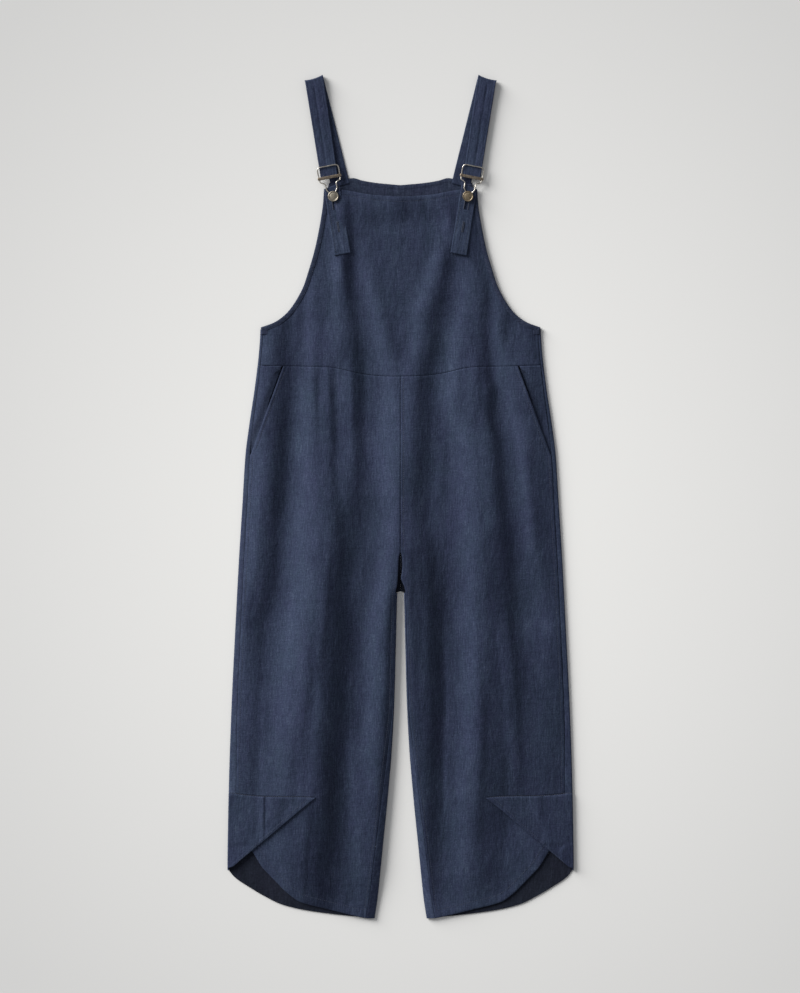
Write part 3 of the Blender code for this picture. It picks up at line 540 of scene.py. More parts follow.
def wall_mesh(name, outside, inside, cut, material, keep=None, lean=None, inner=None):
    """A closed wall between two grids of points; keep says which cells exist."""
    rows, cols = outside.shape[:2]
    if keep is None:
        keep = np.ones((rows - 1, cols - 1), bool)
    used = np.zeros((rows, cols), bool)
    used[:-1, :-1] |= keep
    used[1:, :-1] |= keep
    used[:-1, 1:] |= keep
    used[1:, 1:] |= keep
    number = np.full((rows, cols), -1)
    count = int(used.sum())
    number[used] = np.arange(count)
    a, b = number[:-1, :-1], number[:-1, 1:]
    c, d = number[1:, 1:], number[1:, :-1]
    top = np.stack([a[keep], b[keep], c[keep], d[keep]], axis=1)
    faces = [top, top[:, ::-1] + count]
    padded = np.zeros((rows + 1, cols + 1), bool)
    padded[1:-1, 1:-1] = keep
    for (di, dj), p, q in (
        ((-1, 0), b, a), ((1, 0), d, c), ((0, -1), a, d), ((0, 1), c, b),
    ):
        beside = padded[1 + di:rows + di, 1 + dj:cols + dj]
        rim = keep & ~beside
        p, q = p[rim], q[rim]
        faces.append(np.stack([p, q, q + count, p + count], axis=1))
    verts = np.concatenate([outside[used], inside[used]])
    cuts = np.concatenate([cut[used], cut[used] + np.array([0, 0, 3.0])])
    tips = None
    if lean is not None:
        tip = np.stack([-lean[0][used], -lean[1][used], np.zeros(count)], axis=1)
        tips = np.concatenate([tip, -tip])
    return add_mesh(name, verts, np.concatenate(faces), cuts, material, lean=tips,
                    inner=inner, inner_from=count)


def stacked(x, y, low, thick):
    under = np.stack([x, y, np.broadcast_to(low, x.shape)], axis=-1)
    return under + np.array([0, 0, 1.0]) * np.broadcast_to(thick, x.shape)[..., None], under


def mirrored(points, side):
    return points * np.array([side, 1, 1])


def swept(name, path, radius, material, sides=10, closed=False, ends=True):
    """A round bar along a path in millimetres, with rounded ends."""
    path = np.asarray(path, float)
    n = len(path)
    if closed:
        ahead = np.roll(path, -1, axis=0) - np.roll(path, 1, axis=0)
    else:
        ahead = np.gradient(path, axis=0)
    ahead /= np.linalg.norm(ahead, axis=1)[:, None]
    side = np.cross(ahead, [0.0, 0.0, 1.0])
    size = np.linalg.norm(side, axis=1)[:, None]
    side = np.where(size > 1e-3, side / np.maximum(size, 1e-9), [1.0, 0, 0])
    up = np.cross(side, ahead)
    radius = np.broadcast_to(radius, (n,))
    turn = np.arange(sides) * 2 * np.pi / sides
    ring = (side[:, None, :] * np.cos(turn)[None, :, None] + up[:, None, :] * np.sin(turn)[None, :, None])
    verts = (path[:, None, :] + ring * radius[:, None, None]).reshape(-1, 3)
    faces = []
    for i in range(n if closed else n - 1):
        j = (i + 1) % n
        for k in range(sides):
            m = (k + 1) % sides
            faces.append((i * sides + k, i * sides + m, j * sides + m, j * sides + k))
    if not closed:
        for i, out in ((0, -1), (n - 1, 1)):
            tip = len(verts)
            verts = np.vstack([verts, path[i] + ahead[i] * out * radius[i] * 0.6])
            for k in range(sides):
                m = (k + 1) % sides
                faces.append((i * sides + k, i * sides + m, tip, tip))
    mesh_faces = [tuple(dict.fromkeys(f)) for f in faces]
    mesh = bpy.data.meshes.new(name)
    mesh.from_pydata((np.asarray(verts) * MM).tolist(), [], mesh_faces)
    work = bmesh.new()
    work.from_mesh(mesh)
    bmesh.ops.recalc_face_normals(work, faces=work.faces)
    work.to_mesh(mesh)
    work.free()
    mesh.polygons.foreach_set("use_smooth", np.ones(len(mesh.polygons), bool))
    mesh.materials.append(material)
    obj = bpy.data.objects.new(name, mesh)
    bpy.context.scene.collection.objects.link(obj)
    return obj


# ----------------------------------------------------------------- materials
class Nodes:
    """A short way to lay out one material's nodes."""

    def __init__(self, name):
        self.material = bpy.data.materials.new(name)
        self.material.use_nodes = True
        self.tree = self.material.node_tree
        self.shader = self.tree.nodes["Principled BSDF"]

    def add(self, kind, **inputs):
        node = self.tree.nodes.new(kind)
        for key, value in inputs.items():
            if key.startswith("p_"):
                setattr(node, key[2:], value)
        for key, value in inputs.items():
            if not key.startswith("p_"):
                self.put(node, key, value)
        return node

    def put(self, node, key, value):
        slot = node.inputs[int(key[1:])] if key[0] == "i" and key[1:].isdigit() else node.inputs[key]
        if hasattr(value, "is_linked") and hasattr(value, "node"):
            self.tree.links.new(value, slot)
        else:
            slot.default_value = value

    def ramp(self, fac, stops):
        node = self.add("ShaderNodeValToRGB")
        self.tree.links.new(fac, node.inputs["Fac"])
        band = node.color_ramp
        while len(band.elements) < len(stops):
            band.elements.new(0.5)
        for element, (at, colour) in zip(band.elements, stops):
            element.position = at
            element.color = (*colour, 1) if len(colour) == 3 else colour
        return node.outputs["Color"]

    def math(self, how, a, b=0.0, clamp=False):
        node = self.add("ShaderNodeMath", p_operation=how, p_use_clamp=clamp)
        for i, value in enumerate((a, b)):
            self.put(node, f"i{i}", value)
        return node.outputs[0]

    def scaled(self, vector, scale):
        node = self.add("ShaderNodeMapping")
        self.tree.links.new(vector, node.inputs["Vector"])
        node.inputs["Scale"].default_value = scale
        return node.outputs[0]

    def noise(self, vector, scale, detail=2.0, rough=0.5, distortion=0.0):
        node = self.add("ShaderNodeTexNoise", Scale=1.0, Detail=detail, Roughness=rough,
                        Distortion=distortion)
        self.tree.links.new(self.scaled(vector, scale), node.inputs["Vector"])
        return node.outputs["Fac"]


def linen(name, deep, light, pale, rough=0.86):
    """Plain-weave linen: slubbed yarns both ways, over the cloth's own coordinates."""
    n = Nodes(name)
    cut = n.add("ShaderNodeAttribute", p_attribute_name="cut").outputs["Vector"]
    # yarns waver a little, so the weave isn't a ruled grid
    sway = n.noise(cut, (160, 160, 40), 2, 0.5)
    warp_long = n.noise(cut, (620, 46, 60), 3, 0.62)
    weft_long = n.noise(cut, (52, 640, 60), 3, 0.62)
    slub_warp = n.noise(cut, (640, 105, 60), 3, 0.62)
    slub_weft = n.noise(cut, (105, 640, 60), 3, 0.62)
    patch = n.noise(cut, (42, 18, 20), 4, 0.6)
    fleck = n.noise(cut, (460, 400, 100), 3, 0.75)
    yarns = []
    for direction in ("X", "Y"):
        wave = n.add("ShaderNodeTexWave", p_wave_type="BANDS", p_bands_direction=direction,
                     p_wave_profile="SIN", Scale=700.0, Distortion=2.4, Detail=1.0)
        wave.inputs["Detail Scale"].default_value = 1.2
        n.tree.links.new(cut, wave.inputs["Vector"])
        yarns.append(wave.outputs["Fac"])
    weave = n.math("MULTIPLY", yarns[0], yarns[1])
    # colour: yarn-to-yarn differences, long streaks and the odd pale slub
    tone = n.math("MULTIPLY", warp_long, 0.27)
    tone = n.math("ADD", tone, n.math("MULTIPLY", weft_long, 0.09))
    tone = n.math("ADD", tone, n.math("MULTIPLY", slub_warp, 0.18))
    tone = n.math("ADD", tone, n.math("MULTIPLY", slub_weft, 0.10))
    tone = n.math("ADD", tone, n.math("MULTIPLY", patch, 0.15))
    tone = n.math("ADD", tone, n.math("MULTIPLY", fleck, 0.36))
    tone = n.math("ADD", tone, n.math("MULTIPLY", n.math("SUBTRACT", weave, 0.25), 0.05))
    colour = n.ramp(tone, [(0.50, deep), (0.605, light), (0.72, pale)])
    # the dye drifts between a greener and a redder navy
    drift = n.noise(cut, (17, 7, 9), 3, 0.6)
    near_drift = n.noise(cut, (150, 60, 40), 2, 0.6)
    turn = n.math("ADD", n.math("MULTIPLY", drift, 0.045), n.math("MULTIPLY", near_drift, 0.025))
    dyed = n.add("ShaderNodeHueSaturation", Color=colour, Hue=n.math("ADD", turn, 0.466))
    n.put(n.shader, "Base Color", dyed.outputs["Color"])
    grain = n.math("ADD", n.math("MULTIPLY", sway, 0.12), rough - 0.06)
    n.put(n.shader, "Roughness", grain)
    n.shader.inputs["Specular IOR Level"].default_value = 0.16
    n.shader.inputs["Sheen Weight"].default_value = 0.03
    n.shader.inputs["Sheen Roughness"].default_value = 0.55
    n.shader.inputs["Sheen Tint"].default_value = (0.55, 0.62, 0.85, 1)
    relief = n.math("ADD", n.math("MULTIPLY", weave, 0.35), n.math("MULTIPLY", slub_warp, 0.5))
    relief = n.math("ADD", relief, n.math("MULTIPLY", slub_weft, 0.5))
    tipped = n.add("ShaderNodeVectorMath", p_operation="ADD")
    n.tree.links.new(n.add("ShaderNodeNewGeometry").outputs["Normal"], tipped.inputs[0])
    n.tree.links.new(n.add("ShaderNodeAttribute", p_attribute_name="lean").outputs["Vector"], tipped.inputs[1])
    straight = n.add("ShaderNodeVectorMath", p_operation="NORMALIZE")
    n.tree.links.new(tipped.outputs[0], straight.inputs[0])
    fine = n.add("ShaderNodeBump", Strength=0.45, Distance=0.00020, Height=relief,
                 Normal=straight.outputs[0])
    crumple = n.noise(cut, (85, 30, 20), 4, 0.58, 0.4)
    crumple_across = n.noise(cut, (36, 90, 20), 3, 0.55, 0.3)
    soft = n.math("ADD", n.math("MULTIPLY", crumple, 0.7), n.math("MULTIPLY", crumple_across, 0.45))
    wide = n.add("ShaderNodeBump", Strength=1.0, Distance=0.0019, Height=soft,
                 Normal=fine.outputs["Normal"])
    n.put(n.shader, "Normal", wide.outputs["Normal"])
    return n.material


def metal(name, low, high, rough_low, rough_high, tarnish=0.0):
    """Cast or drawn metal with brushed, slightly tarnished skin."""
    n = Nodes(name)
    place = n.add("ShaderNodeTexCoord").outputs["Object"]
    wear = n.noise(place, (420, 420, 420), 5, 0.65, 0.3)
    streak = n.noise(place, (2600, 420, 900), 3, 0.6)
    spots = n.noise(place, (1500, 1500, 1500), 2, 0.5)
    tone = n.math("ADD", n.math("MULTIPLY", wear, 0.65), n.math("MULTIPLY", spots, 0.35))
    n.put(n.shader, "Base Color", n.ramp(tone, [(0.38 + tarnish, low), (0.60 + tarnish, high)]))
    n.put(n.shader, "Roughness", n.math(
        "ADD", n.math("MULTIPLY", streak, rough_high - rough_low), rough_low))
    n.shader.inputs["Metallic"].default_value = 1.0
    nicks = n.add("ShaderNodeBump", Strength=0.35, Distance=0.00012,
                  Height=n.math("ADD", streak, n.math("MULTIPLY", spots, 0.6)))
    n.put(n.shader, "Normal", nicks.outputs["Normal"])
    return n.material


def thread_finish(name, deep, light):
    n = Nodes(name)
    place = n.add("ShaderNodeTexCoord").outputs["Object"]
    ply = n.noise(place, (1800, 1800, 1800), 3, 0.6)
    n.put(n.shader, "Base Color", n.ramp(ply, [(0.35, deep), (0.65, light)]))
    n.put(n.shader, "Roughness", n.math("ADD", n.math("MULTIPLY", ply, 0.2), 0.55))
    twist = n.add("ShaderNodeBump", Strength=0.5, Distance=0.0001, Height=ply)
    n.put(n.shader, "Normal", twist.outputs["Normal"])
    return n.material


CLOTH = linen("linen_navy", (0.0130, 0.0196, 0.0419), (0.0252, 0.0354, 0.0693), (0.0512, 0.0676, 0.1095))
# painted shade: a darker copy of the linen, on the back bib's upper face, the bindings and the underarm tacks
CLOTH_SHADED = linen("linen_navy_painted_shade", (0.0112, 0.0162, 0.0345), (0.0215, 0.0290, 0.0565),
                    (0.0450, 0.0560, 0.0880))
# painted deep shade: a far darker copy of the linen, on the back legs' inner faces, for the shade inside the leg
# openings
CLOTH_DEEP_SHADE = linen("linen_navy_inside", (0.0040, 0.0058, 0.0125), (0.0078, 0.0105, 0.0200),
                     (0.0150, 0.0190, 0.0330))
THREAD = thread_finish("thread_navy", (0.016, 0.022, 0.042), (0.040, 0.050, 0.085))
WIRE_METAL = metal("wire_nickel", (0.27, 0.248, 0.215), (0.60, 0.57, 0.52), 0.24, 0.44)
SLIDE_METAL = metal("slide_bronze", (0.11, 0.085, 0.065), (0.34, 0.285, 0.225), 0.30, 0.50)
BUTTON_METAL = metal("button_nickel", (0.17, 0.152, 0.122), (0.38, 0.345, 0.285), 0.36, 0.58)
BUTTON_METAL_WARM = metal("button_nickel_warm", (0.125, 0.098, 0.064), (0.30, 0.245, 0.172), 0.36, 0.58)


def finish_piece(obj, slot, *nodes):
    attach(obj, "root")
    if nodes:
        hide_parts(*nodes)
    return obj


# --------------------------------------------------------- seams and edges
EDGE_STEPS = np.array([0.0, 0.45, 1.1, 2.1, 3.6, 4.6, 5.4, 6.2, 7.6, 9.6])
STEP = 3.1


def uneven(along, seed):
    """A value between about -1 and 1 that never repeats along a seam."""
    a = np.asarray(along, float)
    return (
        0.42 * np.sin(a / 3.3 + seed) + 0.30 * np.sin(a / 2.05 + 2.1 * seed + 0.6 * np.sin(a / 17.0))
        + 0.28 * np.sin(a / 7.9 + 0.7 * seed)
    ) * (0.65 + 0.35 * np.sin(a / 41.0 + 1.7 * seed))


def seam_relief(d, along, seed, roll=0.7, stitch=5.0, pucker=0.30, reach=8.0, dip=0.28):
    """Height change beside a sewn edge: the roll into it, the stitch line and its puckers."""
    d = np.asarray(d, float)
    down = -roll * np.exp(-((d / 1.0) ** 2))
    if stitch:
        down = down - dip * np.exp(-(((d - stitch) / 0.75) ** 2))
    return down + pucker * uneven(along, seed) * np.exp(-(((d - 3.0) / reach) ** 2))


def spread(low, high, first=EDGE_STEPS, last=EDGE_STEPS, step=STEP, typical=250.0):
    """Positions from low to high: fine steps at each end, even ones between."""
    a, b = low + first[-1], high - last[-1]
    inner = max(2, int(round((typical - first[-1] - last[-1]) / step)))
    shares = np.linspace(0, 1, inner + 1)[1:-1]
    parts = [low[..., None] + first, a[..., None] + shares * (b - a)[..., None],
             high[..., None] - last[::-1]]
    return np.concatenate(parts, axis=-1)


def leg_grid(hem, left_of, right_of, length, typical, belt=None):
    """x and y of a leg's points, rows from the waist seam to the hem."""
    down = spread(np.zeros(1), np.full(1, length), typical=length)[0] / length
    y0 = np.float64(207.0)
    for _ in range(3):
        top_x = spread(np.atleast_1d(left_of(y0)), np.atleast_1d(right_of(y0)), typical=typical)[0]
        top = curve(WAIST, top_x) - GAP / 2
        y0 = np.float64(207.0)
    nominal = (top_x - top_x[0]) / (top_x[-1] - top_x[0])
    share = spread(np.zeros(1), np.full(1, typical), typical=typical)[0] / typical
    low_y = curve(hem, share)[None, :]
    if belt is None:
        y = top[None, :] + down[:, None] * (low_y - top[None, :])
    else:
        # some rows follow the seam over the hem's overlay
        tight = np.array([0.0, 0.35, 0.8, 1.4, 2.2, 3.4, 5.2])
        line = belt(share)[None, :]
        over = spread(np.zeros(1), np.full(1, 684.0), last=tight, typical=684.0)[0] / 684.0
        under = spread(np.zeros(1), np.full(1, 160.0), first=tight, typical=160.0)[0][1:] / 160.0
        y = np.concatenate([
            top[None, :] + over[:, None] * (line - top[None, :]),
            line + under[:, None] * (low_y - line),
        ])
    low, high = left_of(y), right_of(y)
    x = np.empty_like(y)
    n = len(EDGE_STEPS)
    x[:, :n] = low[:, :n] + EDGE_STEPS
    x[:, -n:] = high[:, -n:] - EDGE_STEPS[::-1]
    inner = np.linspace(0, 1, x.shape[1] - 2 * n + 2)[1:-1]
    a, b = low[:, n:-n] + EDGE_STEPS[-1], high[:, n:-n] - EDGE_STEPS[-1]
    x[:, n:-n] = a + inner * (b - a)
    return x, y, low, high, top, nominal


def petal_top(x, side):
    """The seam over the hem's overlay: from the side in to its tip."""
    t = np.clip((np.asarray(x, float) - PETAL_TIP_X) / (275.3 - PETAL_TIP_X), 0, 1)
    sag = 2.6 if side < 0 else 1.6
    return PETAL_TIP_Y + t * (-473.5 - PETAL_TIP_Y) - sag * np.sin(np.pi * t) + 1.0 * np.sin(2 * np.pi * t)


def front_leg(name, side):
    def belt(share):
        low, high = front_inner(np.float64(-478.0)), front_edge(np.float64(-478.0))
        return petal_top(low + share * (high - low), side)

    x, y, low, high, top, _ = leg_grid(FRONT_HEM, lambda at: front_inner(at, side), front_edge,
                                       860.0, 236.0, belt)
    d_in, d_out, d_top = x - low, high - x, top[None, :] - y
    hem_y = y[-1][None, :]
    d_hem = y - hem_y
    height = front_height(side * x, y)
    lean = front_lean(side * x, y, height)
    z = FRONT_Z + height
    seed = 1.0 if side < 0 else 4.2
    centre = y > FRONT_CROTCH_Y
    z = z + np.where(
        centre,
        seam_relief(d_in, y, seed + 0.3, roll=0.5, stitch=4.6, pucker=0.10, reach=6, dip=0.10),
        seam_relief(d_in, y, seed + 0.3, roll=0.5, stitch=5.0, pucker=0.12, reach=6, dip=0.12),
    )
    pocket = ease(POCKET_LOW_Y - 2, POCKET_LOW_Y + 10, y)
    sewn = seam_relief(d_out, y, seed + 1.1, roll=0.4, stitch=5.0, pucker=0.14, reach=6, dip=0.16)
    # the pocket's folded edge stands a little proud and bows between its ends
    span = np.clip((y - POCKET_LOW_Y) / (207 - POCKET_LOW_Y), 0, 1)
    bow = 0.9 * np.sin(np.pi * span) * np.exp(-((d_out / 16.0) ** 2))
    opening = (bow + 0.25 * bump(d_out - 2.4, 2.2) - 0.45 * np.exp(-((d_out / 0.7) ** 2))
               - 0.30 * bump(d_out - 5.4, 0.8) + 0.16 * uneven(y, seed) * bump(d_out - 4, 5))
    z = z + pocket * opening + (1 - pocket) * sewn
    z = z + seam_relief(d_top, side * x * 0.8, seed + 2.2, roll=0.5, stitch=None, pucker=0.24, reach=11)
    overlaid = ease(PETAL_TIP_X - 1, PETAL_TIP_X + 8, x)
    line = y - petal_top(x, side)
    z = z - overlaid * (1.15 * np.exp(-((line / 0.85) ** 2))
                        - 0.22 * uneven(x * 1.2, seed + 5) * np.exp(-np.abs(line) / 8.0) * (line > 0))
    hem_band = 12.5
    z = z - 0.5 * np.exp(-((d_hem / 0.9) ** 2)) + 0.22 * bump(d_hem - 6, 5.5) \
        - 0.22 * bump(d_hem - hem_band, 0.9) + 0.16 * uneven(x, seed + 3) * bump(d_hem - hem_band, 7)
    flat = np.stack([side * x, y, np.zeros_like(x)], axis=-1)
    outside, inside = stacked(side * x, y, z, WALL)
    obj = wall_mesh(name, outside, inside, flat, CLOTH, lean=lean)
    finish_piece(obj, "linen", name)
    return obj, (x, y, z)


def fold_arc(centre, inward, y, end, radius, top, rise, steps=(12, 28, 45, 62, 80, 98, 116, 134, 152, 168, 180)):
    """Section points round a soft side fold, from the floor up to the seam's edge."""
    points, run = [], []
    for angle in steps:
        turn = math.radians(angle)
        extra = rise(centre, y) * (1 - math.cos(turn)) / 2
        z = np.full(y.shape, FOLD_OUT - radius * math.cos(turn)) + extra
        points.append(np.stack([centre - inward * radius * math.sin(turn), y, z], axis=-1))
        run.append(FOLD_OUT * turn)
    for share in (0.35, 0.62, 0.84, 0.95, 1.0):
        x = centre + share * (end - centre)
        roll = -0.35 * np.exp(-((np.abs(x - end) / 1.0) ** 2))
        points.append(np.stack([x, y, top + rise(x, y) + roll * ease(0.3, 1, share)], axis=-1))
        run.append(FOLD_OUT * math.pi + share * 6)
    return points, run


def back_leg(name, side):
    typical = 260.0

    def low(y):
        joined = GAP / 2
        return np.where(y > BACK_CROTCH_Y + 1, joined, np.maximum(inner_edge(y), joined) + FOLD_OUT)

    def high(y):
        return outer_edge(y) - FOLD_OUT

    x, y, lo, hi, top, _ = leg_grid(BACK_HEM, low, high, 862.0, typical)
    seed = 6.0 if side < 0 else 9.1
    lift = back_height(side * x, y)
    d_in, d_top, d_hem = x - lo, top[None, :] - y, y - y[-1][None, :]
    centre = (y > BACK_CROTCH_Y + 1).astype(float)
    # a groove outside is a rise on the face that lies down
    groove = 0.55 * np.exp(-((d_in / 1.0) ** 2)) * centre + 0.55 * np.exp(-((d_top / 1.0) ** 2))
    groove = groove + 0.14 * bump(d_in - 5, 0.8) * centre + 0.14 * bump(d_hem - 12.5, 0.9)
    under = lift + groove
    floor_out = np.stack([x, y, under], axis=-1)
    floor_in = np.stack([x, y, np.maximum(lift, under - 0.2) + WALL], axis=-1)
    edge_y, inner_y = y[:, -1], y[:, 0]
    seam = outer_edge(edge_y) - curve(SIDE_SEAM, edge_y)
    inner_seam = np.maximum(inner_edge(inner_y), GAP / 2) + curve(INNER_SEAM, inner_y)

    def rise(at_x, at_y):
        return front_height(side * at_x, at_y) * (at_x < 90)

    out_r, run = fold_arc(x[:, -1], -1, edge_y, seam, FOLD_OUT, FRONT_Z + WALL, rise)
    in_r, _ = fold_arc(x[:, -1], -1, edge_y, seam, FOLD_IN, FRONT_Z, rise)
    out_l, _ = fold_arc(x[:, 0], 1, inner_y, inner_seam, FOLD_OUT, FRONT_Z + WALL, rise)
    in_l, _ = fold_arc(x[:, 0], 1, inner_y, inner_seam, FOLD_IN, FRONT_Z, rise)
    count = x.shape[1]
    outside = np.stack(out_l[::-1] + [floor_out[:, j] for j in range(count)] + out_r, axis=1)
    inside = np.stack(in_l[::-1] + [floor_in[:, j] for j in range(count)] + in_r, axis=1)
    pucker = 0.07 * uneven(edge_y, seed)
    for k in range(-6, 0):
        outside[:, k, 2] += pucker
        inside[:, k, 2] += pucker
    n = len(run)
    flat = np.zeros(outside.shape)
    flat[:, n:n + count, 0] = x
    for k, r in enumerate(run):
        flat[:, n + count + k, 0] = x[:, -1] + r
        flat[:, n - 1 - k, 0] = x[:, 0] - r
    flat[..., 1] = outside[..., 1]
    flat = flat * np.array([side, 1, 1]) + np.array([900.0, 0, 0])
    keep = np.ones((outside.shape[0] - 1, outside.shape[1] - 1), bool)
    keep[inner_y[:-1] > BACK_CROTCH_Y + 1, :n] = False
    # the folds are round, not flat-topped, and tip outwards all the way to the seams
    weight = np.clip((np.arange(n) - 3) / 6.0, 0, 1)
    tilt = np.zeros(outside.shape[:2])
    tilt[:, -n:] = -(0.70 if side < 0 else 0.05) * weight
    tilt[:, :n] = (0.45 if side < 0 else 0.35) * weight[::-1]
    across, along = side * tilt, np.zeros_like(tilt)
    across[:, n:n + count], along[:, n:n + count] = back_lean(side * x, y, lift)
    # its inner faces, seen deep in the leg openings, take the painted deep shade
    obj = wall_mesh(name, mirrored(outside, side), mirrored(inside, side), flat, CLOTH, keep,
                    lean=(across, along), inner=CLOTH_DEEP_SHADE)
    return finish_piece(obj, "linen", name)


def pocket_facing(name, side):
    u, v = np.meshgrid(np.linspace(0, 1, 72), np.linspace(0, 1, 64))
    top = curve(WAIST, 205.0) - GAP / 2
    y = top + v * (FACING_LOW_Y - top)
    low = slant(y) - FACING_UNDER
    high = outer_edge(y) - curve(SIDE_SEAM, y) - GAP
    y = np.where(v == 0, curve(WAIST, low + u * (high - low)) - GAP / 2, y)
    x = low + u * (high - low)
    # it climbs from under the front to the side seam, where it is sewn in
    past = x - slant(y)
    climb = (1.5 + front_height(x, y)) * np.clip(ease(0.5, 15.0, past) + ease(14, 2, top - y) * ease(0, 3, past), 0, 1)
    z = WALL + GAP + climb + 0.12 * bump(u - 0.75, 0.3) * np.sin(v * 9 + side)
    # beside the slant's upper half only its shading tips, as if it dropped away under the front
    drop = 2.4 * ease(136, 158, y) * ease(210, 198, y) * np.exp(-((np.maximum(past, 0) / 1.5) ** 2))
    lean = front_lean(side * x, y, climb + drop)
    flat = np.stack([side * x + 40, y, np.zeros_like(x)], axis=-1)
    outside, inside = stacked(side * x, y, z, WALL)
    obj = wall_mesh(name, outside, inside, flat, CLOTH, lean=lean)
    return finish_piece(obj, "linen", name)


def hem_petal(name, side):
    """The pointed overlay at the outer hem, running on round the side fold."""
    rows = np.concatenate([[0, 0.004, 0.012, 0.026, 0.045], np.linspace(0.07, 1, 48)])
    v = rows[:, None]
    u = np.concatenate([np.linspace(0, 0.9, 92), [0.925, 0.95, 0.968, 0.98, 0.988, 0.994, 1.0]])[None, :]
    top_out = -474.0
    tip_x = PETAL_TIP_X + v * (PETAL_LOW_X - 6 - PETAL_TIP_X)
    tip_y = PETAL_TIP_Y + v * (PETAL_LOW_Y - PETAL_TIP_Y)
    out_y = top_out + v * (PETAL_LOW_Y - 3 - top_out)
    x = outer_edge(out_y) * (1 - u) + tip_x * u
    y = out_y * (1 - u) + tip_y * u
    # its top edge is the seam that the front leg's rows follow too
    y = y + (petal_top(x, side) - (top_out * (1 - u) + PETAL_TIP_Y * u)) * (1 - v) ** 2
    width = np.abs(outer_edge(out_y) - tip_x)
    d_edge = (1 - u) * width * 0.72
    d_top = v * 118.0
    z = FRONT_Z + WALL + GAP + np.zeros_like(x)
    z = z + 0.9 * np.sin(np.pi * u) * np.sin(np.pi * np.clip(v * 1.1, 0, 1))
    crease = (265.1 if side < 0 else 541.0)
    cx = abs((crease - COLS_AT) * PIXEL)
    deep = 0.45 if side < 0 else 0.2
    z = z - deep * bump(x - cx, 1.6) + 0.5 * deep * bump(x - cx + 4.5, 3.5)
    z = z + 0.30 * uneven(x * 1.3, 3 + side) * np.exp(-d_top / 9.0)
    z = z - 1.35 * np.exp(-((d_top / 1.1) ** 2))
    z = z + 0.12 * bump(d_edge - 3, 2.4) - 0.12 * bump(d_edge - 6.5, 0.9) + 1.15 * ease(19, 0, d_edge)
    z = np.where(u < 0.0001, FRONT_Z + WALL * 0.6, z)
    round_off = np.sqrt(np.clip(1 - ((FOLD_OUT - np.minimum(outer_edge(y) - x, FOLD_OUT)) / FOLD_OUT) ** 2, 0, 1))
    z = np.where(outer_edge(y) - x < FOLD_OUT, FOLD_OUT + 0.35 + (z - FOLD_OUT - 0.35) * round_off, z)
    flat = np.stack([side * x + 300, y * 0.97 + 0.1 * x, np.zeros_like(x)], axis=-1)
    outside, inside = stacked(side * x, y, z, WALL)
    tipped = FOLD_TIP * faces_height(PETAL_FACES, side * x, y)
    lean = grid_slopes(side * x, y, tipped - (0.15 * x if side > 0 else 0.0))
    obj = wall_mesh(name, outside, inside, flat, CLOTH, lean=lean)
    finish_piece(obj, "linen", name)
    return x, y, z


# --------------------------------------------------------- bib, front, back
def bib_grid(table, top_table, trim, step, typical=300.0):
    """x and y of a bib's points, rows from its top edge to the waist seam."""
    length = 285.0
    global STEP
    keep_step, STEP = STEP, step
    down = spread(np.zeros(1), np.full(1, length), typical=length)[0] / length
    # the columns gather towards both side edges
    across = spread(np.array([-1.0]) * 175, np.array([1.0]) * 175, typical=350.0)[0] / 175
    STEP = keep_step
    v = down[:, None]
    wide_top, wide_low = 122.0, 226.0
    start = curve(top_table, np.abs(across) * wide_top)[None, :]
    end = curve(WAIST, np.abs(across) * wide_low)[None, :] + GAP / 2
    y = start + v * (end - start)
    half = armhole_width(table, y) - trim(y)
    n = len(EDGE_STEPS)
    x = np.empty_like(y)
    x[:, :n] = -half[:, :n] + EDGE_STEPS
    x[:, -n:] = half[:, -n:] - EDGE_STEPS[::-1]
    inner = across[n:-n] / across[-n]
    x[:, n:-n] = inner * (half[:, n:-n] - EDGE_STEPS[-1])
    return x, y, half, start, end


def edge_lean(table, y):
    slope = (curve(table, y + 1.5) - curve(table, y - 1.5)) / 3
    return np.sqrt(1 + slope**2)


def front_bib():
    def trim(y):
        return (curve(SIDE_SEAM, y) + GAP) * ease(UNDERARM_Y + 10, UNDERARM_Y, y)

    x, y, half, start, end = bib_grid(ARMHOLE, FRONT_TOP, trim, STEP)
    height = front_height(x, y)
    lean = front_lean(x, y, height)
    z = FRONT_Z + height
    d_side = half - np.abs(x)
    d_top = start - y
    d_low = y - end
    top = seam_relief(d_top, x * 0.9, 2.4, roll=0.35, stitch=8.0, pucker=0.5, reach=7, dip=0.4)
    z = z + top + 0.35 * bump(d_top - 4, 3.4)
    z = z + seam_relief(d_low, x * 0.8, 5.1, roll=0.5, stitch=None, pucker=0.24, reach=10)
    # gathers that run in from the binding
    stretch = edge_lean(ARMHOLE, np.clip(y, UNDERARM_Y + 2, 491))
    away = d_side / stretch
    near = ease(36, 4, away) * ease(UNDERARM_Y + 2, UNDERARM_Y + 14, y)
    z = z + 0.16 * uneven(y * 0.45 + x * 0.12, 3.3) * near
    below = ease(UNDERARM_Y + 2, UNDERARM_Y - 3, y)
    z = z + below * seam_relief(d_side, y, 7.7, roll=0.5, stitch=5, pucker=0.1, reach=5, dip=0.15)
    flat = np.stack([x, y, np.zeros_like(x)], axis=-1)
    obj = wall_mesh("front_bib", *stacked(x, y, z, WALL), flat, CLOTH, lean=lean)
    finish_piece(obj, "linen", "front_bib")
    return obj


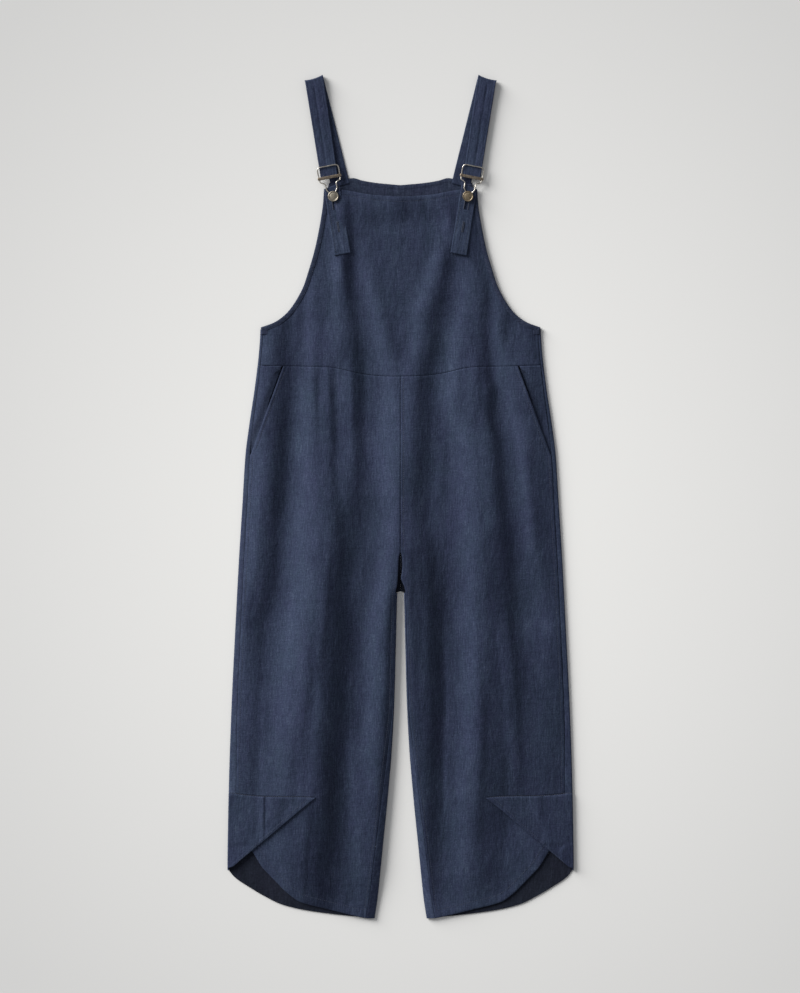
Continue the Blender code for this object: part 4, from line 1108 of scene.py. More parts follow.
def back_bib():
    def trim(y):
        return FOLD_OUT * ease(UNDERARM_Y + 1, UNDERARM_Y, y)

    x, y, half, start, end = bib_grid(BACK_ARMHOLE, BACK_TOP, trim, 4.0)
    lift = back_height(x, y)
    d_side, d_top, d_low = half - np.abs(x), start - y, y - end
    above = ease(470, 484, y)
    groove = 0.5 * np.exp(-((d_low / 1.0) ** 2)) + 0.5 * np.exp(-((x / 1.0) ** 2)) * ease(470, 440, y)
    under = lift + groove * 0.8
    # the top band, seen above the front bib
    show = above * (0.35 * bump(d_top - 4, 3.2) - 0.28 * bump(d_top - 7.4, 0.8)
                    - 0.4 * np.exp(-((d_top / 0.8) ** 2)) + 0.22 * uneven(x, 8.0) * bump(d_top - 6, 6))
    upper = np.maximum(lift, under - 0.2) + WALL + show
    floor_out = np.stack([x, y, under], axis=-1)
    floor_in = np.stack([x, y, upper], axis=-1)
    edge_y, edge_x = y[:, -1], x[:, -1]
    seam = outer_edge(edge_y) - curve(SIDE_SEAM, edge_y)

    def rise(at_x, at_y):
        return 0.0

    out_r, run = fold_arc(edge_x, -1, edge_y, seam, FOLD_OUT, FRONT_Z + WALL, rise)
    in_r, _ = fold_arc(edge_x, -1, edge_y, seam, FOLD_IN, FRONT_Z, rise)
    out_l = [mirrored(p, -1) for p in out_r[::-1]]
    in_l = [mirrored(p, -1) for p in in_r[::-1]]
    count, n = x.shape[1], len(run)
    outside = np.stack(out_l + [floor_out[:, j] for j in range(count)] + out_r, axis=1)
    inside = np.stack(in_l + [floor_in[:, j] for j in range(count)] + in_r, axis=1)
    flat = np.zeros(outside.shape)
    flat[:, n:n + count, 0] = x
    for k, r in enumerate(run):
        flat[:, n + count + k, 0] = edge_x + r
        flat[:, n - 1 - k, 0] = -edge_x - r
    flat[..., 1] = outside[..., 1]
    flat = flat + np.array([900.0, 0, 0])
    keep = np.ones((outside.shape[0] - 1, outside.shape[1] - 1), bool)
    armpit = edge_y[:-1] > UNDERARM_Y - 1.0
    keep[armpit, :n] = False
    keep[armpit, -n:] = False
    weight = np.clip((np.arange(n) - 3) / 6.0, 0, 1)
    tilt = np.zeros(outside.shape[:2])
    tilt[:, -n:] = -0.05 * weight
    tilt[:, :n] = 0.55 * weight[::-1]
    along = np.zeros_like(tilt)
    tilt[:, n:n + count], along[:, n:n + count] = back_lean(x, y, lift)
    hidden = ease(478, 466, y)
    tilt[:, n:n + count] *= hidden
    along[:, n:n + count] *= hidden
    # its upper face, the band seen above the front bib, takes the linen's painted-shade copy
    obj = wall_mesh("back_bib", outside, inside, flat, CLOTH, keep,
                    lean=(tilt, along), inner=CLOTH_SHADED)
    return finish_piece(obj, "linen", "back_bib")


def binding(name, table, side, y_top, base, seed):
    """The folded strip sewn over an armhole's edge, closed round it."""
    ys = np.concatenate([
        np.linspace(y_top, 330, 70)[:-1], np.linspace(330, 285, 34)[:-1],
        np.linspace(285, 277, 12)[:-1], np.linspace(277, UNDERARM_Y + 0.2, 22),
    ])
    cx = curve(table, ys)
    line = np.stack([cx, ys], axis=1)
    ahead = np.gradient(line, axis=0)
    ahead /= np.linalg.norm(ahead, axis=1)[:, None]
    inward = np.stack([ahead[:, 1], -ahead[:, 0]], axis=1)
    inward *= np.where(inward[:, :1] > 0, -1, 1)
    length = np.concatenate([[0], np.cumsum(np.linalg.norm(np.diff(line, axis=0), axis=1))])
    # section: inward distance and height, from under the cloth round to the top
    section = []
    for d in (BAND_WIDTH - 0.8, 4.4, 3.0, 1.8):
        section.append((d, -0.15))
    for angle in range(0, 181, 20):
        turn = math.radians(angle)
        section.append((1.0 - 1.0 * math.sin(turn), 0.74 - 0.9 * math.cos(turn)))
    for d in (1.7, 2.6, 3.5, 4.5, 5.3, 5.9, 6.2, BAND_WIDTH):
        section.append((d, 1.62 + 0.22 * math.sin(d / BAND_WIDTH * math.pi) - 0.2 * math.exp(-((d - 5.3) / 0.5) ** 2)
                        - 0.12 * math.exp(-((d - BAND_WIDTH) / 0.35) ** 2)))
    section = np.array(section)
    thick = 0.62
    grad = np.gradient(section, axis=0)
    grad /= np.linalg.norm(grad, axis=1)[:, None]
    normal = np.stack([-grad[:, 1], grad[:, 0]], axis=1)
    inner = section + normal * thick
    x0 = side * (cx[:, None] + inward[:, :1] * section[None, :, 0])
    y0 = ys[:, None] + inward[:, 1:] * section[None, :, 0]
    level = base(side * (cx + inward[:, 0] * 4), ys + inward[:, 1] * 4)[:, None]
    ripple = 0.05 * uneven(length, seed)[:, None] * np.linspace(0.2, 1, len(section))[None, :]
    outside = np.stack([x0, y0, level + section[None, :, 1] + ripple], axis=-1)
    x1 = side * (cx[:, None] + inward[:, :1] * inner[None, :, 0])
    y1 = ys[:, None] + inward[:, 1:] * inner[None, :, 0]
    inside = np.stack([x1, y1, level + inner[None, :, 1] + ripple], axis=-1)
    run = np.concatenate([[0], np.cumsum(np.linalg.norm(np.diff(section, axis=0), axis=1))])
    flat = np.zeros(outside.shape)
    # cut on the bias
    flat[..., 0] = (run[None, :] + length[:, None]) * 0.7071 + seed * 31
    flat[..., 1] = (length[:, None] - run[None, :]) * 0.7071
    # the binding takes the linen's painted-shade copy
    obj = wall_mesh(name, outside, inside, flat, CLOTH_SHADED)
    return finish_piece(obj, "linen", name), line, inward, length


def underarm_tab(side):
    """The binding's end, folded square and tacked down on the side seam."""
    u, v = np.meshgrid(np.linspace(0, 1, 10), np.linspace(0, 1, 12))
    x = side * (211.5 + u * 11.6)
    y = UNDERARM_Y + 0.6 - v * 11.4 + 0.9 * (1 - u)
    z = FRONT_Z + WALL + 0.25 + 0.5 * np.sin(np.pi * u) ** 0.5 * 0.6 - 0.3 * v
    z = z - 0.9 * ease(0.82, 1.0, u)
    flat = np.stack([x + 77, y, np.zeros_like(x)], axis=-1)
    word = "left" if side < 0 else "right"
    # the tack takes the linen's painted-shade copy
    obj = wall_mesh(f"underarm_tack_{word}", *stacked(x, y, z, 0.8), flat, CLOTH_SHADED)
    finish_piece(obj, "linen")
    return obj


# ------------------------------------------------------ straps
def strap(name, side):
    """One strap: up from the back bib, over at the shoulder, down to the slide."""
    root_l, root_r = np.array([-113.3, 502.3]), np.array([-84.2, 509.9])
    fold_l, fold_r = np.array([-153.6, 665.4]), np.array([-124.6, 674.3])
    end_l, end_r = np.array([-127.4, 507.2]), np.array([-100.6, 512.7])
    shares = np.concatenate([[0, 0.018, 0.045, 0.085, 0.125, 0.16, 0.2], np.linspace(0.24, 0.76, 14),
                             [0.8, 0.84, 0.875, 0.915, 0.955, 0.982, 1.0]])[:, None]
    across = (fold_r - fold_l) / np.linalg.norm(fold_r - fold_l)
    away = np.array([-across[1], across[0]])
    # the strap is sewn in under the back bib's edge
    root_l = root_l - away * 10.0
    root_r = root_r - away * 10.0
    reach = STRAP_FOLD_R + STRAP_WALL / 2
    line_l, line_r = fold_l - away * reach, fold_r - away * reach
    outside, inside, cut = [], [], []
    s = shares[:, 0]
    d_edge = np.minimum(s, 1 - s) * 30.0
    rounded = 0.85 * (1 - np.sqrt(np.clip(1 - np.clip(1 - d_edge / 1.0, 0, 1) ** 2, 0, 1)))
    sewn = 0.22 * bump(d_edge - 3.6, 0.8)
    run = 0.0

    def row(left, right, flat_out, flat_in, out_z, in_z, crease, along, seed):
        mid = left + (right - left) * shares
        # a lengthwise crease: a lit shoulder on one side of a groove
        dip = crease * (-1.0 * bump(s - 0.44, 0.05) + 0.55 * bump(s - 0.60, 0.14)
                        + 0.30 * bump(s - 0.26, 0.12))
        ripple = 0.14 * uneven(along + 40 * s, seed) * (0.4 + 0.6 * np.exp(-d_edge / 5))
        sgn = 1 if out_z > in_z else -1
        outside.append(np.column_stack([mid + flat_out * away, np.full(len(s), out_z) + dip
                                        - sgn * (rounded + sewn) + ripple]))
        inside.append(np.column_stack([mid + flat_in * away, np.full(len(s), in_z) + dip
                                       + sgn * rounded + ripple]))
        cut.append(np.column_stack([500 + s * 30, np.full(len(s), along), np.zeros(len(s))]))

    length = np.linalg.norm((line_l + line_r) / 2 - (root_l + root_r) / 2)
    for t in np.linspace(0, 1, 60)[:-1]:
        tucked = 0.35 * float(ease(0.12, 0.04, t))
        row(root_l + t * (line_l - root_l), root_r + t * (line_r - root_r), 0, 0, tucked,
            STRAP_WALL + tucked, 0.15 * float(ease(0, 0.2, t)), run + t * length, 2.0)
    run += length
    outer_r, inner_r = STRAP_FOLD_R + STRAP_WALL / 2, STRAP_FOLD_R - STRAP_WALL / 2
    bow = 2.2 * 4 * s * (1 - s)
    for angle in range(0, 181, 12):
        turn = math.radians(angle)
        sag = np.sin(turn)
        row(line_l, line_r, (outer_r * sag), (inner_r * sag),
            outer_r - outer_r * math.cos(turn), outer_r - inner_r * math.cos(turn), 0,
            run + STRAP_FOLD_R * turn, 2.0)
        # the fold's edge is a little hollow between its corners
        outside[-1][:, :2] -= (bow * sag * 0.8)[:, None] * away
        inside[-1][:, :2] -= (bow * sag * 0.8)[:, None] * away
    run += STRAP_FOLD_R * math.pi
    top, under = 2 * outer_r, 2 * outer_r - STRAP_WALL
    length = np.linalg.norm((end_l + end_r) / 2 - (line_l + line_r) / 2)
    for t in np.linspace(0, 1, 64)[1:]:
        crease = 0.62 * float(ease(0, 0.08, t) * ease(0.97, 0.72, t))
        # it lies low between the fold and the slide
        sag = 1.2 * float(ease(0, 0.3, t) * ease(1.0, 0.66, t))
        row(line_l + t * (end_l - line_l), line_r + t * (end_r - line_r), 0, 0, top - sag,
            under - sag, crease, run + t * length, 5.0)
    outside, inside, cut = np.array(outside), np.array(inside), np.array(cut)
    obj = wall_mesh(name, mirrored(outside, side), mirrored(inside, side), cut, CLOTH)
    return finish_piece(obj, "linen", name)


def strap_end(name, side):
    """The strap's free end on the bib, with the buttonhole that the button is in."""
    top_l, top_r = np.array(TAB_TOP_L), np.array(TAB_TOP_R)
    low_l, low_r = np.array(TAB_LOW_L), np.array(TAB_LOW_R)
    length = np.linalg.norm((low_l + low_r) / 2 - (top_l + top_r) / 2)
    width = np.linalg.norm(top_r - top_l)
    slit = TAB_SLIT_HALF / width
    rows = np.unique(np.concatenate([
        [0, 0.5, 1.4, 2.6, 4.0], np.linspace(4.0, TAB_SLIT[0], 6), np.linspace(TAB_SLIT[0], TAB_SLIT[1], 18),
        np.linspace(TAB_SLIT[1], length - 6, 40), length - np.array([6, 4.6, 3.6, 2.4, 1.2, 0.5, 0]),
    ])) / length
    cols = np.array([0, 0.018, 0.045, 0.09, 0.125, 0.16, 0.21, 0.27, 0.33, 0.385, 0.5 - slit, 0.5 + slit,
                     0.615, 0.67, 0.73, 0.79, 0.84, 0.875, 0.91, 0.955, 0.982, 1.0])
    u, v = np.meshgrid(cols, rows)
    left = top_l + v[..., None] * (low_l - top_l)
    right = top_r + v[..., None] * (low_r - top_r)
    flat = left + u[..., None] * (right - left)
    along = v * length
    low = FRONT_Z + WALL + GAP + 1.0 + GAP + (TAB_LIFT + 1.3 * u * ease(0.5, 1, v)) * ease(0.45, 1, v)
    d_side = np.minimum(u, 1 - u) * width
    d_end = np.minimum(along, length - along)
    rounded = 0.8 * (1 - np.sqrt(np.clip(1 - np.clip(1 - np.minimum(d_side, d_end) / 1.0, 0, 1) ** 2, 0, 1)))
    sewn = 0.22 * bump(d_side - 3.6, 0.8) + 0.22 * bump(length - along - 4.0, 0.8)
    near_hole = bump(u - 0.5, 0.16) * bump((along - 25.5) / 13.0, 1.25)
    lift = 0.16 * uneven(along + 20 * u, 3.0 + side) + 0.35 * near_hole
    lift = lift + 0.5 * bump(u - 0.62, 0.18) * ease(40, 60, along) - 0.35 * bump(u - 0.42, 0.1) * ease(44, 70, along)
    top = low + STRAP_WALL - rounded - sewn + lift
    bottom = low + rounded * 0.6 + lift
    first = int(np.argmin(np.abs(rows * length - TAB_SLIT[0])))
    last = int(np.argmin(np.abs(rows * length - TAB_SLIT[1])))
    keep = np.ones((len(rows) - 1, len(cols) - 1), bool)
    keep[first:last, 10] = False
    x = side * flat[..., 0]
    outside = np.stack([x, flat[..., 1], top], axis=-1)
    inside = np.stack([x, flat[..., 1], bottom], axis=-1)
    cut = np.stack([560 + u * width, along, np.zeros_like(u)], axis=-1)
    obj = wall_mesh(name, outside, inside, cut, CLOTH, keep)
    return finish_piece(obj, "linen", name)


# ------------------------------------------------------------------ hardware
def buckle_frame(side):
    """Turns the buckle's own across and along into x and y."""
    tilt = math.radians(BUCKLE_TILT)

    def placed(across, along, z):
        x = BUCKLE_CENTRE[0] + across * math.cos(tilt) - along * math.sin(tilt)
        y = BUCKLE_CENTRE[1] + across * math.sin(tilt) + along * math.cos(tilt)
        return np.array([-x if side > 0 else x, y, z])

    return placed


# columns: across from the middle, along the strap, height; one half of the wire
HOOK = (
    (0.0, 17.8, 9.4), (11.5, 17.8, 9.4), (15.6, 16.3, 9.1), (17.0, 12.4, 8.6),
    (17.0, 6.0, 7.4), (16.8, 2.4, 7.0), (16.8, -2.4, 7.0), (15.6, -6.4, 7.7),
    (11.6, -8.4, 8.4), (8.9, -11.2, 9.0), (8.7, -16.5, 9.2), (8.0, -20.4, 9.2),
    (5.3, -24.6, 9.2), (4.4, -28.0, 9.2), (4.6, -32.2, 9.2), (2.8, -35.7, 9.2),
    (0.0, -36.7, 9.2),
)


def hook(name, side):
    """The buckle's one bent wire, a rectangle over a keyhole loop."""
    placed = buckle_frame(side)
    half = [np.array(p) for p in HOOK]
    ring = half + [p * np.array([-1, 1, 1]) for p in half[-2:0:-1]]
    path = []
    for i, point in enumerate(ring):
        before, after, next_one = ring[i - 1], ring[(i + 1) % len(ring)], ring[(i + 2) % len(ring)]
        steps = 8
        for k in range(steps):
            t = k / steps
            path.append(
                0.5 * (2 * point + (after - before) * t
                       + (2 * before - 5 * point + 4 * after - next_one) * t * t
                       + (3 * point - before - 3 * after + next_one) * t**3)
            )
    path = [placed(*p) for p in path]
    obj = swept(name, path, WIRE_R, WIRE_METAL, sides=16, closed=True)
    return finish_piece(obj, "wire_metal", name)


def slide(name, side):
    """A flat sleeve round the strap and the wire's two sides, its face a little domed."""
    placed = buckle_frame(side)

    def loop(half_x, half_z, corner):
        points = []
        for cx, cz, start in ((1, 1, 0), (-1, 1, 90), (-1, -1, 180), (1, -1, 270)):
            for angle in np.linspace(0, 90, 9):
                turn = math.radians(start + angle)
                points.append((cx * (half_x - corner) + corner * math.cos(turn),
                               cz * (half_z - corner) + corner * math.sin(turn)))
        return points

    inner = loop(SLIDE_HALF[0] - SLIDE_PLATE, SLIDE_HALF[1] - SLIDE_PLATE, 0.6)
    rings = []
    # round the plate's edge: outside face, lip, inside face
    deep = SLIDE_DEPTH / 2
    for share, grow in ((0.0, 0.10), (0.45, 0.08), (0.75, 0.02), (0.9, -0.08), (0.97, -0.22), (1.0, -0.45)):
        points = loop(SLIDE_HALF[0] + grow, SLIDE_HALF[1] + grow, 1.5)
        rings.append([placed(a, share * deep, SLIDE_Z + b) for a, b in points])
    rings.append([placed(a, 0.97 * deep, SLIDE_Z + b) for a, b in inner])
    for share in (0.0, -0.97):
        rings.append([placed(a, share * deep, SLIDE_Z + b) for a, b in inner])
    for share, grow in ((-1.0, -0.45), (-0.97, -0.22), (-0.9, -0.08), (-0.75, 0.02), (-0.45, 0.08)):
        points = loop(SLIDE_HALF[0] + grow, SLIDE_HALF[1] + grow, 1.5)
        rings.append([placed(a, share * deep, SLIDE_Z + b) for a, b in points])
    verts = [p for ring in rings for p in ring]
    n, count = len(rings[0]), len(rings)
    faces = []
    for r in range(count):
        s = (r + 1) % count
        for k in range(n):
            m = (k + 1) % n
            faces.append((r * n + k, r * n + m, s * n + m, s * n + k))
    obj = add_mesh(name, verts, faces, None, SLIDE_METAL)
    return finish_piece(obj, "slide_metal", name)


def button(name, side):
    """A turned metal button on a shank: plain, softly dished face inside a rolled rim."""
    centre = buckle_frame(side)(0.0, BUTTON_ALONG, 0.0)
    low, head = BUTTON_LOW_Z, BUTTON_HEAD_Z
    profile = [
        (SHANK_R, low), (SHANK_R, low + 0.4), (SHANK_R, head - 0.8), (SHANK_R + 0.3, head - 0.1),
        (BUTTON_R - 1.9, head), (BUTTON_R - 1.0, head + 0.12),
    ]
    for angle in range(-80, 171, 14):
        turn = math.radians(angle)
        profile.append((BUTTON_R - 0.95 + 0.95 * math.cos(turn), head + 1.15 + 0.95 * math.sin(turn)))
    profile += [
        (BUTTON_R - 2.1, head + 1.42), (BUTTON_R - 2.4, head + 1.36), (BUTTON_R - 2.9, head + 1.52),
        (BUTTON_R - 3.6, head + 1.74), (BUTTON_R - 4.8, head + 1.98), (BUTTON_R - 6.2, head + 2.12),
        (0.7, head + 2.18),
    ]
    turns = 72
    verts, faces = [], []
    for radius, z in profile:
        for k in range(turns):
            angle = 2 * math.pi * k / turns
            verts.append((centre[0] + radius * math.cos(angle), centre[1] + radius * math.sin(angle), z))
    for r in range(len(profile) - 1):
        for k in range(turns):
            m = (k + 1) % turns
            faces.append((r * turns + k, r * turns + m, (r + 1) * turns + m, (r + 1) * turns + k))
    verts.append((centre[0], centre[1], low))
    verts.append((centre[0], centre[1], head + 2.2))
    last = (len(profile) - 1) * turns
    mesh = bpy.data.meshes.new(name)
    caps = []
    for k in range(turns):
        m = (k + 1) % turns
        caps.append((m, k, len(verts) - 2))
        caps.append((last + k, last + m, len(verts) - 1))
    mesh.from_pydata((np.array(verts) * MM).tolist(), [], faces + caps)
    work = bmesh.new()
    work.from_mesh(mesh)
    bmesh.ops.recalc_face_normals(work, faces=work.faces)
    work.to_mesh(mesh)
    work.free()
    mesh.polygons.foreach_set("use_smooth", np.ones(len(mesh.polygons), bool))
    mesh.materials.append(BUTTON_METAL if side < 0 else BUTTON_METAL_WARM)
    obj = bpy.data.objects.new(name, mesh)
    bpy.context.scene.collection.objects.link(obj)
    return finish_piece(obj, "button_metal", name)


# ----------------------------------------------------------------- stitching
def stitch_mesh(name, lines, thread_r=0.26, long=2.3, pitch=3.1):
    """Lock stitches along lines of points in millimetres: short bars that dip at both ends."""
    sides = 5
    profile = ((0.0, 0.45, -0.30), (0.18, 0.9, -0.03), (0.5, 1.0, 0.06), (0.82, 0.9, -0.03), (1.0, 0.45, -0.30))
    verts, faces = [], []
    turn = np.arange(sides) * 2 * np.pi / sides
    for line in lines:
        line = np.asarray(line, float)
        seg = np.linalg.norm(np.diff(line, axis=0), axis=1)
        run = np.concatenate([[0], np.cumsum(seg)])
        count = int(run[-1] // pitch)
        for k in range(count):
            a = k * pitch + 0.4 + 0.16 * math.sin(k * 1.7)
            at = a + long * np.array([p[0] for p in profile])
            if at[-1] > run[-1]:
                continue
            pts = np.stack([np.interp(at, run, line[:, i]) for i in range(3)], axis=1)
            ahead = pts[-1] - pts[0]
            ahead /= np.linalg.norm(ahead)
            out = np.cross(ahead, [0, 0, 1.0])
            out /= np.linalg.norm(out)
            up = np.cross(out, ahead)
            base = len(verts)
            for p, (_, r, h) in zip(pts, profile):
                c = p + up * h
                for t in turn:
                    verts.append(c + thread_r * r * (out * math.cos(t) + up * math.sin(t)))
            for i in range(len(profile) - 1):
                for s in range(sides):
                    m = (s + 1) % sides
                    b = base + i * sides
                    faces.append((b + s, b + m, b + sides + m, b + sides + s))
            faces.append(tuple(base + s for s in range(sides))[::-1])
            faces.append(tuple(base + (len(profile) - 1) * sides + s for s in range(sides)))
    mesh = bpy.data.meshes.new(name)
    mesh.from_pydata((np.array(verts) * MM).tolist(), [], faces)
    work = bmesh.new()
    work.from_mesh(mesh)
    bmesh.ops.recalc_face_normals(work, faces=work.faces)
    work.to_mesh(mesh)
    work.free()
    mesh.polygons.foreach_set("use_smooth", np.ones(len(mesh.polygons), bool))
    mesh.materials.append(THREAD)
    obj = bpy.data.objects.new(name, mesh)
    bpy.context.scene.collection.objects.link(obj)
    finish_piece(obj, "linen")
    return obj


def on_front(x, y, extra=0.0):
    return np.stack([x, y, FRONT_Z + WALL + front_height(x, y) + extra], axis=-1)


def leg_lines(side):
    ys = np.arange(POCKET_LOW_Y - 4, -556, -2.0)
    lines = [on_front(side * (front_edge(ys) - 5.0), ys)]
    ys = np.arange(FRONT_CROTCH_Y - 45, -664, -2.0)
    lines.append(on_front(side * (front_inner(ys) + 5.0), ys))
    ys = np.arange(199.0, POCKET_LOW_Y + 6, -2.0)
    span = np.clip((ys - POCKET_LOW_Y) / (207 - POCKET_LOW_Y), 0, 1)
    lines.append(on_front(side * (front_edge(ys) - 5.4), ys, 0.75 * np.sin(np.pi * span) + 0.05))
    if side > 0:
        ys = np.arange(188.0, FRONT_CROTCH_Y + 3, -2.0)
        lines.append(on_front(front_inner(ys) + 4.6, ys))
    share = np.linspace(0.02, 0.985, 260)
    hem = curve(FRONT_HEM, share)
    low, high = front_inner(hem), front_edge(hem)
    x = low + share * (high - low)
    line = np.stack([x, hem], axis=1)
    ahead = np.gradient(line, axis=0)
    ahead /= np.linalg.norm(ahead, axis=1)[:, None]
    inside = line + 12.5 * np.stack([-ahead[:, 1], ahead[:, 0]], axis=1)
    lines.append(on_front(side * inside[:, 0], inside[:, 1]))
    return lines


def buttonhole(side, along_mid, half, name):
    """Close bar stitches round a buttonhole in the strap end."""
    top = (np.array(TAB_TOP_L) + np.array(TAB_TOP_R)) / 2
    low = (np.array(TAB_LOW_L) + np.array(TAB_LOW_R)) / 2
    down = (low - top) / np.linalg.norm(low - top)
    out = np.array([-down[1], down[0]])
    length = np.linalg.norm(low - top)
    lines = []
    for hand in (-1, 1):
        for a in np.arange(-half, half + 0.01, 0.72):
            at = top + down * (along_mid + a)
            z = FRONT_Z + WALL + 1.6 + TAB_LIFT * float(ease(0.45, 1, (along_mid + a) / length)) + STRAP_WALL + 0.42
            p, q = at + out * hand * (TAB_SLIT_HALF - 0.2), at + out * hand * (TAB_SLIT_HALF + 1.7)
            if along_mid > 45:
                p, q = at + out * hand * 0.15, at + out * hand * 1.7
            lines.append([(side * p[0], p[1], z), (side * q[0], q[1], z)])
    return lines


def bar_mesh(name, lines, radius=0.34):
    sides = 5
    turn = np.arange(sides) * 2 * np.pi / sides
    verts, faces = [], []
    for p, q in lines:
        p, q = np.array(p), np.array(q)
        ahead = (q - p) / np.linalg.norm(q - p)
        out = np.cross(ahead, [0, 0, 1.0])
        up = np.cross(out, ahead)
        base = len(verts)
        for t, r, h in ((0, 0.5, -0.35), (0.2, 1, 0), (0.8, 1, 0), (1, 0.5, -0.35)):
            c = p + (q - p) * t + up * h
            for a in turn:
                verts.append(c + radius * r * (out * math.cos(a) + up * math.sin(a)))
        for i in range(3):
            for s in range(sides):
                m = (s + 1) % sides
                b = base + i * sides
                faces.append((b + s, b + m, b + sides + m, b + sides + s))
        faces.append(tuple(base + s for s in range(sides))[::-1])
        faces.append(tuple(base + 3 * sides + s for s in range(sides)))
    mesh = bpy.data.meshes.new(name)
    mesh.from_pydata((np.array(verts) * MM).tolist(), [], faces)
    mesh.polygons.foreach_set("use_smooth", np.ones(len(mesh.polygons), bool))
    mesh.materials.append(THREAD)
    obj = bpy.data.objects.new(name, mesh)
    bpy.context.scene.collection.objects.link(obj)
    return finish_piece(obj, "linen")


# ---------------------------------------------------------------- the object
front_bib()
back_bib()
for word, hand in (("left", -1), ("right", 1)):
    leg, grid = front_leg("front_leg_" + word, hand)
    back_leg("back_leg_" + word, hand)
    pocket_facing("pocket_facing_" + word, hand)
    petal = hem_petal("hem_petal_" + word, hand)
    band, line, inward, length = binding(
        "armhole_band_front_" + word, ARMHOLE, hand, 491.2,
        lambda x, y: FRONT_Z + front_height(x, y), 3.0 + hand)
    # its stitching, close to the binding's inner edge
    at = line + inward * 5.1
    z = FRONT_Z + front_height(hand * at[:, 0], at[:, 1]) + 1.45 + 0.05 * uneven(length, 3.0 + hand)
    band_line = [np.stack([hand * at[:, 0], at[:, 1], z], axis=1)[2:-2]]
    back_band, *_ = binding(
        "armhole_band_back_" + word, BACK_ARMHOLE, hand, 501.0,
        lambda x, y: 0.75 + 0 * x, 8.0 + hand)
    underarm_tab(hand)
    # the strap, its end and the hardware are laid out for the left and mirrored
    strap("strap_" + word, -hand)
    strap_end("strap_end_" + word, -hand)
    hook("buckle_" + word, hand)
    slide("slide_" + word, hand)
    button("button_" + word, hand)
    # petal's stitching
    px, py, pz = petal
    k = int(np.argmin(np.abs((1 - np.concatenate([np.linspace(0, 0.9, 92), [0.925, 0.95, 0.968, 0.98, 0.988, 0.994, 1.0]])) * 100 - 6.5)))
    petal_line = [np.stack([hand * px[3:-3, k], py[3:-3, k], pz[3:-3, k] + WALL + 0.05], axis=1)]
    stitch_mesh("stitches_leg_" + word, leg_lines(hand) + band_line + petal_line)
    # painted shade: a close row of thick dark stitches along the overlay's top seam, from its tip to the side, stands
    # for the seam's shadow line
    at_x = np.linspace(PETAL_TIP_X + 6, 276.0, 150)
    drop = np.sqrt(np.clip(1 - (np.clip(at_x - 274.7, 0, FOLD_OUT) / FOLD_OUT) ** 2, 0, 1))
    shade_line = np.stack([hand * at_x, petal_top(at_x, hand) + 0.35,
                      FOLD_OUT + 0.2 + (FRONT_Z + WALL - FOLD_OUT - 0.1) * drop], axis=1)
    stitch_mesh("seam_shade_thread_" + word, [shade_line], thread_r=0.34, long=3.1, pitch=3.0)
    # the strap ends, sewn down both edges and across near the lower end
    lines = []
    for table in ((TAB_TOP_L, TAB_TOP_R, TAB_LOW_L, TAB_LOW_R),):
        tl, tr, ll, lr = (np.array(p) for p in table)
        t = np.linspace(0.03, 0.97, 60)[:, None]
        for share in (0.13, 0.87):
            flat = (tl + (tr - tl) * share) * (1 - t) + (ll + (lr - ll) * share) * t
            z = FRONT_Z + WALL + 1.6 + TAB_LIFT * ease(0.45, 1, t[:, 0]) + STRAP_WALL + 0.02
            lines.append(np.column_stack([-hand * flat[:, 0], flat[:, 1], z]))
        s = np.linspace(0.14, 0.86, 12)[:, None]
        flat = (ll + (lr - ll) * s) + (tl - ll) / np.linalg.norm(tl - ll) * 4.0
        lines.append(np.column_stack([-hand * flat[:, 0], flat[:, 1], np.full(12, FRONT_Z + WALL + 1.6 + TAB_LIFT + STRAP_WALL)]))
    stitch_mesh("stitches_strap_end_" + word, lines, thread_r=0.24)
    holes = buttonhole(-hand, 25.5, 12.0, "x") + buttonhole(-hand, 66.0, 8.5, "y")
    bar_mesh("buttonhole_" + word, holes)

# stitching across both bibs
xs = np.linspace(-116, 116, 240)
top = curve(FRONT_TOP, np.abs(xs))
bib_line = on_front(xs, top - 8.0, -0.05)
xs2 = np.linspace(-106, 106, 220)
top2 = curve(BACK_TOP, np.abs(xs2))
back_line = np.stack([xs2, top2 - 7.4, np.full(len(xs2), WALL + 0.12)], axis=-1)
stitch_mesh("stitches_bib", [bib_line, back_line])


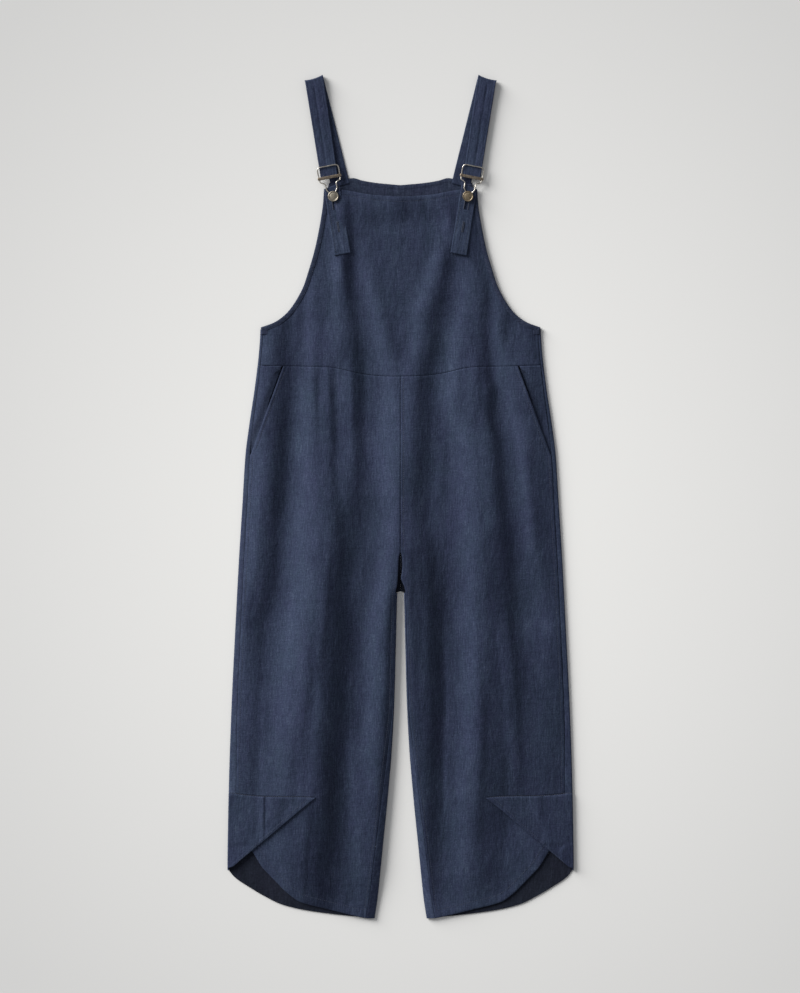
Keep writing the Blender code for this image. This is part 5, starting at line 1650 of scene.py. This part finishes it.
# ------------------------------------------------------------------- stage
floor_mesh = bpy.data.meshes.new("floor")
SPAN = 6.0
floor_mesh.from_pydata([(-SPAN, -SPAN, -0.0004), (SPAN, -SPAN, -0.0004), (SPAN, SPAN, -0.0004),
                        (-SPAN, SPAN, -0.0004)], [], [(0, 1, 2, 3)])
floor = bpy.data.objects.new("floor", floor_mesh)
bpy.context.scene.collection.objects.link(floor)
n = Nodes("floor_paper_painted_light_pool")
# painted light: the paper is lighter near the middle and darker towards the far edges, a pool of light painted into
# its colour; the fine grain is the paper's own
place = n.add("ShaderNodeTexCoord").outputs["Object"]
far = n.add("ShaderNodeVectorMath", p_operation="LENGTH")
n.tree.links.new(n.scaled(place, (1.0, 0.92, 0.0)), far.inputs[0])
grain = n.noise(place, (900, 900, 900), 3, 0.6)
tone = n.math("ADD", n.math("MULTIPLY", far.outputs["Value"], 1.0), n.math("MULTIPLY", grain, 0.02))
n.put(n.shader, "Base Color", n.ramp(tone, [
    (0.20, (0.795, 0.793, 0.782)), (0.56, (0.712, 0.711, 0.705)), (0.95, (0.615, 0.615, 0.612))]))
n.put(n.shader, "Roughness", n.math("ADD", n.math("MULTIPLY", grain, 0.05), 0.9))
n.shader.inputs["Specular IOR Level"].default_value = 0.1
floor_mesh.materials.append(n.material)

world = bpy.data.worlds.new("room")
bpy.context.scene.world = world
world.use_nodes = True
back = world.node_tree.nodes["Background"]
back.inputs["Color"].default_value = (0.97, 0.98, 1.0, 1)
back.inputs["Strength"].default_value = 0.36


def sun(name, azimuth, elevation, strength, angle, colour):
    """A far, wide light; azimuth is where it comes from, degrees from +X."""
    data = bpy.data.lights.new(name, "SUN")
    data.energy = strength
    data.angle = math.radians(angle)
    data.color = colour
    obj = bpy.data.objects.new(name, data)
    az, el = math.radians(azimuth), math.radians(elevation)
    source = Vector((math.cos(az) * math.cos(el), math.sin(az) * math.cos(el), math.sin(el)))
    obj.rotation_euler = source.to_track_quat("Z", "Y").to_euler()
    obj.location = source * 3
    bpy.context.scene.collection.objects.link(obj)
    return obj


sun("key", 143.0, 20.0, 6.35, 40.0, (1.0, 0.990, 0.968))

camera_data = bpy.data.cameras.new("camera")
DISTANCE = 5.0
camera_data.lens = 36.0 * DISTANCE / (993 * PIXEL * MM)
camera_data.sensor_width = 36.0
camera_data.clip_end = 50
camera = bpy.data.objects.new("camera", camera_data)
camera.location = ((400.0 - COLS_AT) * PIXEL * MM, 0.0, DISTANCE)
bpy.context.scene.collection.objects.link(camera)
bpy.context.scene.camera = camera
bpy.context.scene.view_settings.view_transform = "Standard"
